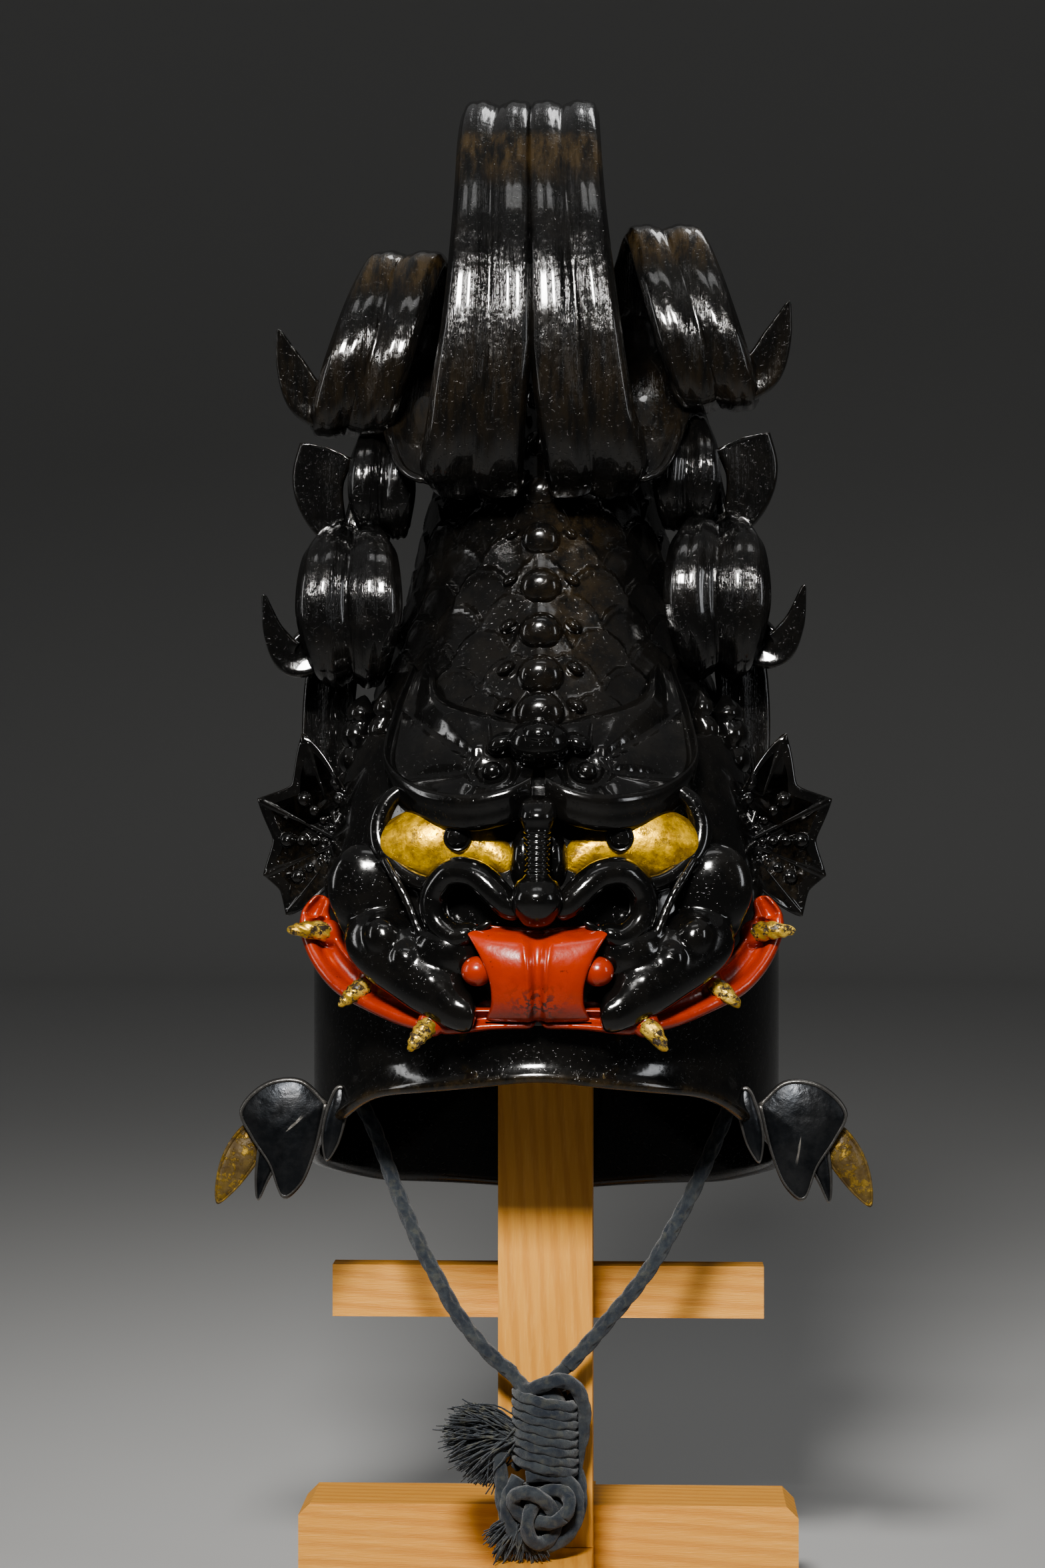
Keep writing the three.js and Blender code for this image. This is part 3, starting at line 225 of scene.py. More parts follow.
def make(name, shells, finish, node, voxel=0.0, smooth=0, wear_and_reflection=None):
    """One piece from its shells, riding on the only body and standing for its node."""
    material, slot = finish
    points, faces, start = [], [], 0
    for shell_points, shell_faces in shells:
        points.append(shell_points)
        faces += [[i + start for i in corners] for corners in shell_faces]
        start += len(shell_points)
    points = np.vstack(points)
    mesh = bpy.data.meshes.new(name)
    mesh.from_pydata((points * MM).tolist(), [], faces)
    tidy = bmesh.new()
    tidy.from_mesh(mesh)
    bmesh.ops.recalc_face_normals(tidy, faces=tidy.faces)
    tidy.to_mesh(mesh)
    tidy.free()
    # The per-vertex attribute holds real wear, and on the tail, lobes and body a painted brown
    # reflection
    if wear_and_reflection is not None:
        layer = mesh.attributes.new("wear_and_reflection", "FLOAT", "POINT")
        layer.data.foreach_set("value", np.clip(wear_and_reflection(points), 0, 1).astype(np.float32))
    mesh.shade_smooth()
    mesh.materials.append(material)
    piece = bpy.data.objects.new(name, mesh)
    bpy.context.scene.collection.objects.link(piece)
    if voxel:
        remesh = piece.modifiers.new("Remesh", "REMESH")
        remesh.mode, remesh.voxel_size = "VOXEL", voxel * MM
        remesh.use_smooth_shade = True
    if smooth:
        soften = piece.modifiers.new("Smooth", "SMOOTH")
        soften.factor, soften.iterations = 0.5, smooth
    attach(piece, "root")
    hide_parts(node)
    return piece


# Materials

class Paint:
    """A material's nodes: a socket given as an input is linked, and a plain value is set."""

    def __init__(self, name):
        self.material = bpy.data.materials.new(name)
        self.material.use_nodes = True
        self.tree = self.material.node_tree
        self.shader = self.tree.nodes["Principled BSDF"]
        self.place = self.add("TexCoord").outputs["Object"]

    def add(self, kind, settings=(), **inputs):
        node = self.tree.nodes.new("ShaderNode" + kind)
        for key, value in dict(settings).items():
            setattr(node, key, value)
        self.fill(node, inputs)
        return node

    def fill(self, node, inputs):
        """Sets sockets by name, or by number where the key is an i and digits."""
        for key, value in inputs.items():
            numbered = key[0] == "i" and key[1:].isdigit()
            socket = node.inputs[int(key[1:]) if numbered else key.replace("_", " ")]
            if isinstance(value, bpy.types.NodeSocket):
                self.tree.links.new(value, socket)
            else:
                socket.default_value = value

    def scaled(self, *scale):
        return self.add("Mapping", Vector=self.place, Scale=scale).outputs["Vector"]

    def noise(self, scale, detail=4.0, vector=None, rough=0.55):
        return self.add("TexNoise", Vector=vector or self.place, Scale=scale, Detail=detail,
                        Roughness=rough).outputs["Fac"]

    def ramp(self, value, low, high, start=0.0, end=1.0):
        node = self.add("MapRange", {"interpolation_type": "SMOOTHSTEP"}, Value=value)
        self.fill(node, {"From_Min": low, "From_Max": high, "To_Min": start, "To_Max": end})
        return node.outputs["Result"]

    def math(self, kind, a, b=0.0):
        return self.add("Math", {"operation": kind}, i0=a, i1=b).outputs["Value"]

    def blend(self, share, a, b):
        node = self.add("Mix", {"data_type": "RGBA"})
        self.fill(node, {"i0": share, "i6": a, "i7": b})
        return node.outputs[2]

    def bump(self, height, distance, strength=1.0, under=None):
        node = self.add("Bump", Height=height, Distance=distance, Strength=strength)
        if under is not None:
            self.fill(node, {"Normal": under})
        return node.outputs["Normal"]

    def edges(self, low=0.52, high=0.6):
        return self.ramp(self.add("NewGeometry").outputs["Pointiness"], low, high)

    def attribute(self, name):
        return self.add("Attribute", {"attribute_name": name}).outputs["Fac"]

    def finish(self, **inputs):
        self.fill(self.shader, inputs)
        return self.material


def rgb(*colour):
    return (*colour, 1.0)


def lacquer(name, streak=0.0, wave=0.00035):
    """Black lacquer: a clear gloss with soft waves, pits, brown where it is worn, and brown painted in
    as a reflection where the mesh asks for it.
    """
    paint = Paint(name)
    patches = paint.ramp(paint.noise(38, 8, rough=0.7), 0.47, 0.6)
    fine = paint.noise(420, 5, rough=0.7)
    edge = paint.math("MULTIPLY", paint.edges(), paint.ramp(fine, 0.4, 0.6))
    if streak:
        grain = paint.noise(1.0, 7, paint.scaled(210, 60, 34), 0.68)
    else:
        grain = paint.noise(120, 8, rough=0.75)
    # Brown from real wear and from painted reflection, both read from the per-vertex attribute, and
    # from worn edges
    brown_mask = paint.math("MULTIPLY", paint.attribute("wear_and_reflection"), paint.ramp(grain, 0.36, 0.66))
    brown_mask = paint.math("MAXIMUM", brown_mask, paint.math("MULTIPLY", edge, 0.18))
    base = paint.blend(patches, rgb(0.0038, 0.0037, 0.0036), rgb(0.0065, 0.006, 0.0054))
    colour = paint.blend(brown_mask, base, rgb(0.04, 0.026, 0.01))
    gloss = paint.ramp(fine, 0.3, 0.7, 0.11, 0.19)
    gloss = paint.math("ADD", gloss, paint.math("MULTIPLY", brown_mask, 0.25))
    waves = paint.bump(paint.noise(55, 3), wave)
    pits = paint.ramp(paint.noise(620, 2), 0.3, 0.4)
    normal = paint.bump(pits, 0.0003 if streak else 0.00012, 0.7, waves)
    if streak:
        lines = paint.noise(1.0, 5, paint.scaled(330, 26, 26), 0.65)
        normal = paint.bump(lines, streak, 1.0, normal)
    return paint.finish(Base_Color=colour, Roughness=gloss, Normal=normal,
                        Coat_Weight=0.7 if streak else 0.4, Coat_Roughness=0.07,
                        Specular_IOR_Level=0.36)


def vermilion():
    paint = Paint("vermilion_lacquer")
    marks = paint.math("MULTIPLY", paint.ramp(paint.noise(160, 8, rough=0.75), 0.62, 0.68), 0.9)
    pale = paint.math("MULTIPLY", paint.edges(0.53, 0.6), paint.ramp(paint.noise(300), 0.45, 0.6))
    shade = paint.ramp(paint.noise(30, 5), 0.35, 0.7)
    base = paint.blend(shade, rgb(0.32, 0.028, 0.006), rgb(0.23, 0.02, 0.005))
    base = paint.blend(paint.math("MULTIPLY", pale, 0.25), base, rgb(0.75, 0.3, 0.16))
    chips = paint.math("MULTIPLY", paint.attribute("wear_and_reflection"), paint.ramp(paint.noise(330, 5), 0.5, 0.56))
    colour = paint.blend(paint.math("MAXIMUM", marks, chips), base, rgb(0.03, 0.012, 0.008))
    normal = paint.bump(paint.noise(90, 4), 0.0004)
    gloss = paint.ramp(paint.noise(200, 4), 0.3, 0.7, 0.22, 0.34)
    return paint.finish(Base_Color=colour, Roughness=gloss, Normal=normal, Coat_Weight=0.35,
                        Coat_Roughness=0.12)


def gold(name, bare=0.5, soil=0.56, deep=(0.40, 0.25, 0.035), bright=(1.0, 0.70, 0.15)):
    """Gold leaf, mottled and worn through to black."""
    paint = Paint(name)
    mottle = paint.ramp(paint.noise(75, 8, rough=0.72), 0.36, 0.66)
    worn = paint.ramp(paint.noise(190, 8, rough=0.8), soil, soil + 0.05)
    worn = paint.math("MULTIPLY", worn, bare)
    worn = paint.math("MAXIMUM", worn, paint.attribute("wear_and_reflection"))
    base = paint.blend(mottle, rgb(*deep), rgb(*bright))
    colour = paint.blend(worn, base, rgb(0.03, 0.02, 0.012))
    metal = paint.ramp(worn, 0.2, 0.8, 0.72, 0.1)
    gloss = paint.ramp(paint.noise(240, 5), 0.3, 0.7, 0.3, 0.52)
    normal = paint.bump(worn, -0.0003, 0.7, paint.bump(paint.noise(260, 5), 0.0004))
    return paint.finish(Base_Color=colour, Metallic=metal, Roughness=gloss, Normal=normal)


def dark_metal():
    paint = Paint("dark_metal")
    patch = paint.ramp(paint.noise(60, 8, rough=0.7), 0.4, 0.65)
    colour = paint.blend(patch, rgb(0.016, 0.018, 0.021), rgb(0.034, 0.035, 0.037))
    colour = paint.blend(paint.math("MULTIPLY", paint.edges(), 0.7), colour, rgb(0.35, 0.33, 0.3))
    gloss = paint.ramp(paint.noise(180, 6), 0.3, 0.7, 0.26, 0.42)
    normal = paint.bump(paint.noise(300, 5), 0.00025)
    return paint.finish(Base_Color=colour, Metallic=0.75, Roughness=gloss, Normal=normal)


def indigo(name, pale=0.0):
    """Faded indigo fibres, paler and yellower where they are frayed."""
    paint = Paint(name)
    fibre = paint.noise(900, 4, rough=0.7)
    fade = paint.ramp(paint.noise(120, 6, rough=0.7), 0.35, 0.68)
    colour = paint.blend(fade, rgb(0.012, 0.017, 0.026), rgb(0.04, 0.047, 0.052))
    frayed = paint.ramp(paint.noise(230, 5), 0.5, 0.7, 0.0, 0.35 + pale)
    colour = paint.blend(frayed, colour, rgb(0.1, 0.098, 0.07))
    normal = paint.bump(fibre, 0.0005)
    return paint.finish(Base_Color=colour, Roughness=0.95, Normal=normal, Sheen_Weight=0.25,
                        Sheen_Roughness=0.6, Specular_IOR_Level=0.2)


def pine(name, axis):
    """Pale sanded pine with its grain along one axis."""
    paint = Paint(name)
    along = [1.0 if i == axis else 14.0 for i in range(3)]
    warp = paint.noise(5, 3, paint.scaled(*[v * 0.6 for v in along]))
    rings = paint.add("TexWave", {"bands_direction": "DIAGONAL"}, Vector=paint.scaled(*along),
                      Scale=6.0, Distortion=3.0, Detail=3.0, Detail_Scale=1.2).outputs["Fac"]
    lines = paint.ramp(rings, 0.25, 0.95)
    fibre = paint.noise(1.0, 6, paint.scaled(*[v * 55 for v in along]), 0.7)
    colour = paint.blend(warp, rgb(0.74, 0.37, 0.085), rgb(0.64, 0.30, 0.055))
    colour = paint.blend(paint.math("MULTIPLY", lines, 0.42), colour, rgb(0.50, 0.20, 0.035))
    colour = paint.blend(paint.ramp(fibre, 0.45, 0.75, 0.0, 0.3), colour, rgb(0.86, 0.5, 0.155))
    normal = paint.bump(fibre, 0.00035)
    return paint.finish(Base_Color=colour, Roughness=0.5, Normal=normal)


def plain(name, colour, rough):
    return Paint(name).finish(Base_Color=rgb(*colour), Roughness=rough)


# Each finish is a material and a slot's name, which make() does not use

BLACK = lacquer("black_lacquer"), "black_lacquer"
SCALED = lacquer("scaled_lacquer", wave=0.0005), "black_lacquer"
FLUTED = lacquer("fluted_lacquer", streak=0.0011, wave=0.0009), "black_lacquer"
RED = vermilion(), "red_lacquer"
GOLD_EYE = gold("gold_leaf", soil=0.55, deep=(0.27, 0.15, 0.009),
                bright=(0.86, 0.53, 0.04)), "gold_leaf"
GOLD_TOOTH = gold("worn_gold_leaf", bare=1.0, soil=0.5), "gold_leaf"
GOLD_PETAL = gold("dull_gold_leaf", bare=0.75, soil=0.45, deep=(0.13, 0.075, 0.014),
                  bright=(0.42, 0.28, 0.06)), "gold_leaf"
METAL = dark_metal(), "dark_metal"
CORD = indigo("indigo_cord"), "indigo_cord"
FRAY = indigo("indigo_fray", pale=0.4), "indigo_cord"


# Camera: level, a little to the right of the middle, as the photograph was taken

CAMERA_DISTANCE, CAMERA_HEIGHT, CAMERA_SHIFT, CAMERA_TURN = 1.5, 0.409, -0.0116, math.radians(2)
FOCAL_PIXELS, PHOTO_HEIGHT, SENSOR = 4650, 2352, 36


def make_camera():
    data = bpy.data.cameras.new("camera")
    data.sensor_width = SENSOR
    data.lens = FOCAL_PIXELS / PHOTO_HEIGHT * SENSOR
    camera = bpy.data.objects.new("camera", data)
    away = np.array([math.sin(CAMERA_TURN), -math.cos(CAMERA_TURN)])
    side = np.array([math.cos(CAMERA_TURN), math.sin(CAMERA_TURN)])
    camera.location = (*(CAMERA_DISTANCE * away + CAMERA_SHIFT * side), CAMERA_HEIGHT)
    camera.rotation_euler = (math.pi / 2, 0, CAMERA_TURN)
    bpy.context.scene.collection.objects.link(camera)
    bpy.context.scene.camera = camera


make_camera()


# Chin cord: the same routes as the solids have, in metres

CORD_DIAMETER = 0.0075
CORD_ROUTES = {
    "left": [(-0.104, -0.026, 0.306), (-0.099, -0.029, 0.286), (-0.090, -0.034, 0.264),
             (-0.080, -0.038, 0.245), (-0.072, -0.041, 0.224), (-0.065, -0.042, 0.207),
             (-0.058, -0.042, 0.191), (-0.050, -0.042, 0.176), (-0.042, -0.041, 0.161),
             (-0.033, -0.041, 0.149), (-0.024, -0.041, 0.139), (-0.015, -0.041, 0.1315)],
    "right": [(0.104, -0.026, 0.310), (0.100, -0.029, 0.290), (0.092, -0.033, 0.269),
              (0.084, -0.037, 0.249), (0.077, -0.040, 0.233), (0.070, -0.041, 0.218),
              (0.061, -0.042, 0.201), (0.052, -0.042, 0.185), (0.042, -0.042, 0.171),
              (0.032, -0.041, 0.159), (0.022, -0.041, 0.147), (0.011, -0.041, 0.135)],
}
STRANDS, PITCH, STRAND_RELIEF = 4, 11.0, 0.42


def braid(line, radius, sides=32, held=BACK):
    """A braided tube: two sets of strands that cross."""
    line = evenly(line, max(8, int(np.linalg.norm(np.diff(line, axis=0), axis=1).sum() / 0.9)))
    run = np.linalg.norm(np.diff(line, axis=0), axis=1).cumsum()
    run = np.concatenate([[0], run])[:, None] * 2 * math.pi / PITCH
    turn = full_turn(sides)[None] * STRANDS
    one, other = np.cos(turn + run), np.cos(turn - run)
    relief = np.maximum(one, other) * STRAND_RELIEF - STRAND_RELIEF
    return skin(turned(line, held, radius + relief, sides))


def make_cords():
    for side, route in CORD_ROUTES.items():
        line = curve(route, ticks(160))
        shell = braid(line / MM, CORD_DIAMETER / 2 / MM)
        cord = make(f"braided_cord_{side}", [shell], CORD, f"chin_cord_{side}")


KNOT_DEPTH, KNOT_GAP = 36, 0.3
KNOT_Y = -(POST_SIDE / 2 + KNOT_GAP + KNOT_DEPTH / 2)
COIL = {"turns": 8.5, "low": 86, "high": 123, "shift": 0.5, "wide": 13.2, "deep": 12.2, "strand": 2.9,
        "slant": -0.16}
KNOT_CORES = (((0, KNOT_Y, 104), (13, 12, 24)), ((-1, KNOT_Y, 68), (14, 11, 15)))
KNOT_LOOPS = (
    [(-17, -41, 133.5), (-12, -42.5, 128), (-8, -46, 125), (-2, -49, 127), (6, -49.5, 130),
     (14, -46, 127), (18.5, -42, 117), (18, -39, 103), (15, -37, 88), (17, -38, 76),
     (16, -40, 64)],
    [(13, -41, 137.5), (8, -40, 132), (2, -38, 125), (-6, -37, 116)],
    [(-20, -40, 106), (-21, -43, 94), (-20, -45, 82), (-19, -46, 70), (-15, -47, 60), (-7, -48, 54)],
    [(-12, -47, 84), (-17, -48, 74), (-16, -48, 62), (-8, -49, 53), (4, -49, 53), (13, -48, 60),
     (16, -47, 72), (12, -48, 82), (2, -50, 86), (-8, -49, 85)],
)
LOOP_RADIUS = 3.6
WOVEN = {"x": -1, "y": -53.5, "z": 69, "size": 14.5, "deep": 3.4, "strand": 3.5, "turn": 0.5}


def woven_line():
    """The three crossing bights of the woven ball, as one closed strand."""
    t = 2 * math.pi * ticks(160) + WOVEN["turn"]
    x = (np.sin(t) + 2 * np.sin(2 * t)) / 3 * WOVEN["size"]
    z = (np.cos(t) - 2 * np.cos(2 * t)) / 3 * WOVEN["size"]
    return np.stack([WOVEN["x"] + x, WOVEN["y"] - WOVEN["deep"] * np.sin(3 * t), WOVEN["z"] + z], -1)


def make_knot():
    turn = np.linspace(0, COIL["turns"] * 2 * math.pi, int(COIL["turns"] * 60))
    x = COIL["wide"] * np.cos(turn)
    z = np.linspace(COIL["high"], COIL["low"], len(turn)) + COIL["slant"] * x
    coil = np.stack([COIL["shift"] + x, KNOT_Y + COIL["deep"] * np.sin(turn), z], -1)
    shells = [braid(coil, COIL["strand"], 16, np.array([0, 0, 1.0]))]
    shells += [ball(*core) for core in KNOT_CORES]
    shells += [braid(curve(loop, ticks(90)), LOOP_RADIUS, 20) for loop in KNOT_LOOPS]
    shells.append(braid(woven_line(), WOVEN["strand"], 20))
    return make("wound_knot", shells, CORD, "cord_knot")


FRAY_TIP, FRAY_ROOT, FRAY_KINK = (2.0, 3.4, 2.0), (1.6, 2.4, 2.4), 0.22
FRAY_RADII, FRAY_STEPS = (0.5, 0.3), 9


def make_fray(name, node, root, tips, count, curl):
    """Loose strands from a root to tips, each with a little wander of its own."""
    shells = []
    for _ in range(count):
        way = rng.random(2)
        tip = curve(tips, [way[0]])[0] + rng.normal(0, 1, 3) * FRAY_TIP
        start = np.array(root) + rng.normal(0, 1, 3) * FRAY_ROOT
        middle = mix(start, tip, 0.5) + rng.normal(0, 1, 3) * curl + (0, -2.5 * way[1], 2.5)
        line = curve([start, middle, tip], ticks(FRAY_STEPS))
        line[1:] += rng.normal(0, FRAY_KINK, (FRAY_STEPS - 1, 3))
        shells.append(skin(turned(line, ACROSS * 0.3 + BACK, np.linspace(*FRAY_RADII, FRAY_STEPS), 4)))
    return make(name, shells, FRAY, node)


SIDE_TIPS = [(-30, -44, 117), (-42, -43, 113), (-46, -42, 104), (-44, -41, 94), (-36, -40, 84),
             (-26, -41, 79)]
BOTTOM_TIPS = [(-22, -46, 60), (-25, -47, 54), (-21, -48, 47.5), (-12, -49, 47), (-3, -48, 47),
               (3, -46, 49)]
SIDE_ROOT, BOTTOM_ROOT = (-12, KNOT_Y, 103), (-9, KNOT_Y - 2, 63)

knot = make_knot()
side_fray = make_fray("fray_side", "tassel_side", SIDE_ROOT, SIDE_TIPS, 330, 1.5)
bottom_fray = make_fray("fray_bottom", "tassel_bottom", BOTTOM_ROOT, BOTTOM_TIPS, 230, 0.9)
make_cords()


# Bowl

RIM = table("turn drop",
    (0, 0), (42, 0.122), (63, 0.378), (90, 0.634), (130, 0.87), (180, 1))
BOWL_LIP = ((BOWL_WALL, 3), (BOWL_WALL - 0.3, 1), (1.8, -0.1), (0, -0.6), (-2, -0.3), (-3.3, 1),
            (-3.4, 2.6), (-2.7, 4.2), (-1.5, 6), (-0.6, 9), (-0.1, 12))
BOWL_SIDES = 180


def rim_heights():
    turn = np.linspace(-180, 180, BOWL_SIDES, endpoint=False)
    drop = np.interp(np.abs(turn), RIM["turn"], RIM["drop"])
    window = np.hanning(13)
    drop = np.convolve(np.tile(drop, 3), window / window.sum(), "same")[BOWL_SIDES:2 * BOWL_SIDES]
    return np.radians(turn), RIM_LIFT + RIM_ARCH * (1 - drop)


def make_bowl():
    turn, rim = rim_heights()

    def ring(inset, z, share=1.0):
        x = (BOWL_WIDTH / 2 - inset) * share * np.sin(turn)
        y = -(BOWL_DEPTH / 2 - inset) * share * np.cos(turn)
        return np.stack([x, y, z + 0 * turn], -1)

    def dome(inset):
        bend = np.linspace(0.1, math.pi / 2 - 0.02, 22)
        height = DOME_HEIGHT - inset
        return [ring(inset, SHOULDER_Z + height * math.sin(t) ** (2 / DOME_POWER),
                     math.cos(t) ** (2 / DOME_POWER)) for t in bend]

    def wall(inset, lift):
        return [ring(inset, mix(rim + lift, SHOULDER_Z, t)) for t in ticks(12)]

    rings = [*dome(BOWL_WALL)[::-1], *wall(BOWL_WALL, 5)[::-1]]
    rings += [ring(inset, rim + lift) for inset, lift in BOWL_LIP]
    rings += [*wall(0, 4 * RIM_ROLL), *dome(0)]

    def wear_and_reflection(points):
        flat = np.arctan2(points[:, 0] / BOWL_WIDTH, -points[:, 1] / BOWL_DEPTH)
        lowest = np.interp(flat, turn, rim)
        return 0.75 * step(lowest + 3.2 - points[:, 2], -2, 2)

    return make("bowl_shell", [skin(np.array(rings))], BLACK, "helmet_bowl", wear_and_reflection=wear_and_reflection)


make_bowl()


# Head

HEAD = table("up half out",
    (0.02, 0.84, 0.12), (0.15, 0.93, 0.2), (0.35, 1, 0.24), (0.55, 1.03, 0.2), (0.75, 1.02, -0.02),
    (0.95, 0.99, -0.2), (1.15, 0.95, -0.42), (1.32, 0.9, -0.67))
HEAD_BACK = 45


def oval_rings(half, front, back, z, sides, power=2.0, shift=0.0, crowd=0.0):
    """Rings of superellipses, one number for each ring. Crowd brings the sides together in front."""
    turn = full_turn(sides)[None]
    turn = turn - crowd * np.sin(turn)
    half, front, back, z, shift = (
        np.broadcast_to(v, np.shape(z))[:, None] for v in (half, front, back, z, shift))

    def bend(v):
        return np.sign(v) * np.abs(v) ** (2 / power)

    x = shift + half * bend(np.sin(turn))
    y = (front + back) / 2 - (back - front) / 2 * bend(np.cos(turn))
    return np.stack([x, y, z + 0 * turn], -1)


LID = table("x y z size",
    (20, -131, 370, 1.5), (30, -132, 366.5, 3), (42, -130, 364.5, 3.8), (54, -126, 366, 4.2),
    (64, -121, 372, 4.6), (71, -116, 381, 5), (72, -113, 392, 5), (68, -112, 401, 4.4),
    (60, -112, 408, 3))
FOREHEAD_KNOBS = (((0, 0, 0), (14.5, 13, 11), 40, 24, 0), ((0, -3, 4), (9, 11, 7), 32, 20, 0),
                  ((-17, 3, 0), (7, 8, 5), 32, 20, 0.5), ((17, 3, 0), (7, 8, 5), 32, 20, -0.5))


def make_head():
    up = np.linspace(0.02, 1.32, 70)
    front = -(BOWL_DEPTH / 2 + read(HEAD, "up", "out", up) * FACE_RELIEF)
    half = read(HEAD, "up", "half", up) * FACE_WIDTH / 2
    shells = [skin(oval_rings(half, front, HEAD_BACK, FACE_Z + up * FACE_HEIGHT, 150))]
    share = ticks(60)
    for sign in SIDES.values():
        line = curve(np.stack([LID["x"] * sign, LID["y"], LID["z"]], -1), share)
        size = values(LID["size"], share) * ends(share, 0.04)
        shells.append(skin(turned(line, BACK, size, 20)))
    for offset, *form in FOREHEAD_KNOBS:
        shells.append(ball(face(0, -0.3, 1.27) + offset, *form))
    return make("head_shell", shells, BLACK, "head")


make_head()


# Brow plates: a dished shelf with a whorl at its inner end and leaf-like rays running outward

BROW = table("rimX rimOut rimUp rootX rootOut rootUp",
    (0.03, 0.2, 1.08, 0.02, -0.72, 1.34), (0.14, 0.3, 1.03, 0.14, -0.72, 1.38),
    (0.32, 0.24, 1.0, 0.28, -0.8, 1.42), (0.54, -0.14, 1.04, 0.4, -0.95, 1.46),
    (0.69, -0.62, 1.17, 0.48, -1.2, 1.52), (0.67, -1.05, 1.38, 0.5, -1.5, 1.6),
    (0.6, -1.65, 1.62, 0.52, -1.85, 1.66))
BROW_LOOP = table("inset drop",
    (0.0, -0.4), (-0.05, -0.35), (-0.075, -0.12), (-0.06, 0.12), (-0.03, 0.4), (0.0, 0.75),
    (0.05, 1.05), (0.15, 1.2), (0.5, 1.15), (1.0, 1.2), (1.0, 0.6), (1.0, 0.0), (0.8, 0.02),
    (0.55, 0.12), (0.3, 0.16), (0.12, 0.15), (0.05, 0.0), (0.0, -0.4))
BROW_THICKNESS, BROW_DISH = 0.11, 1.6
WHORL = {"x": 21, "z": 414, "size": 10.5, "knob": (5, 4.6, 4.8)}
RAYS = {"folds": 4, "turn": 0.35, "height": 3.4, "fade": (34, 62)}


def make_brow(side, sign):
    along = ticks(170)
    row = {key: values(column, along)[:, None] for key, column in BROW.items()}
    loop = ticks(131)[:-1]
    inset = values(BROW_LOOP["inset"], loop)[None]
    drop = values(BROW_LOOP["drop"], loop)[None]
    slim = mix(1, 0.55, np.clip((row["rimUp"] - 1.17) / 0.45, 0, 1))
    rise = mix(row["rimUp"], row["rootUp"], np.clip(inset, 0, 1) ** BROW_DISH)
    grid = face(sign * mix(row["rimX"], row["rootX"], inset), mix(row["rimOut"], row["rootOut"], inset),
                rise - drop * BROW_THICKNESS * slim)
    x, z = np.abs(grid[..., 0]) - WHORL["x"], 1.25 * (grid[..., 2] - WHORL["z"])
    reach, angle = np.hypot(x, z), np.arctan2(z, x)
    top = step(inset, 0.07, 0.16) * step(0.4 - drop, 0, 0.2) * (1 - step(inset, 0.93, 1.0))
    rays = np.abs(np.sin(angle * RAYS["folds"] + RAYS["turn"])) ** 0.55
    rays = rays * step(reach, WHORL["size"], WHORL["size"] + 3)
    rays = rays * (1 - 0.6 * step(reach, *RAYS["fade"])) * RAYS["height"]
    whorl = 2.2 * bump(reach, 8.6, 1.5) + 1.5 * bump(reach, 11.6, 1.0) * step(x, -6, 4)
    middle = np.unravel_index(np.argmin(reach + 100 * (top < 0.5)), reach.shape)
    grid = swollen(grid, (rays + whorl) * top)
    knob = ball(grid[middle] + (0, 0, 0.5), WHORL["knob"])
    return make(f"brow_{side}", [skin(grid), knob], BLACK, f"brow_plate_{side}")


# Eyes

EYE = {"x": 0.46, "out": -0.42, "up": 0.82, "slant": math.radians(8)}
EYE_SIZE = (60, 36)
EYE_STROKES, EYE_SHADE = 22, (54, 76)
PUPIL = {"x": 0.36, "up": 0.853}
PUPIL_PROFILE = ((5.9, 2.5), (6.3, 0.2), (6.3, -1.2), (6.0, -1.9), (5.5, -2.1), (5.1, -1.6),
                 (4.8, -1.6), (4.5, -2.2), (3.6, -2.8), (2.2, -3.2), (0.8, -3.35), (0.05, -3.4))
EYE_CORNER = table("x y z size",
    (44, -111, 381, 15), (30, -115, 380.5, 13.5), (21.5, -119.5, 378, 10.5), (16.5, -124, 374, 7),
    (14, -126.5, 369, 3))


def eye_front(x, z, sign):
    centre = face(sign * EYE["x"], EYE["out"], EYE["up"])
    left = 1 - ((x - centre[0]) / EYE_SIZE[0] * 2) ** 2 - ((z - centre[2]) / EYE_SIZE[1] * 2) ** 2
    return centre[1] - EYE_SIZE[1] / 2 * math.sqrt(max(0, left))


def make_eye(side, sign):
    centre = face(sign * EYE["x"], EYE["out"], EYE["up"])
    radii = (EYE_SIZE[0] / 2, EYE_SIZE[1] / 2, EYE_SIZE[1] / 2)
    shells = [ball(centre, radii, 64, 44, -sign * EYE["slant"])]
    share = ticks(40)
    corner = curve(np.stack([sign * EYE_CORNER["x"], EYE_CORNER["y"], EYE_CORNER["z"]], -1), share)
    shells.append(skin(turned(corner, BACK, values(EYE_CORNER["size"], share) * ends(share, 0.04), 32)))

    def wear_and_reflection(points):
        """Dark strokes at the inner corner and a mottled shade at the outer end."""
        x, _, z = points.T
        strokes = 0.6 * (np.sin(3.2 * z + 1.5 * x) > 0.75) * (np.abs(x) < EYE_STROKES)
        return strokes + 0.45 * step(np.abs(x), *EYE_SHADE) * (0.5 + 0.5 * np.sin(0.9 * x + 0.7 * z))

    make(f"eyeball_{side}", shells, GOLD_EYE, f"eye_{side}", wear_and_reflection=wear_and_reflection)
    x, z = sign * PUPIL["x"] * FACE_WIDTH / 2, FACE_Z + PUPIL["up"] * FACE_HEIGHT
    front = eye_front(x, z, sign)
    turn = full_turn(48)
    rings = [np.stack([x + r * np.cos(turn), front + y + 0 * turn, z + r * np.sin(turn)], -1)
             for r, y in PUPIL_PROFILE]
    make(f"iris_{side}", [skin(np.array(rings))], BLACK, f"pupil_{side}")


# Nose

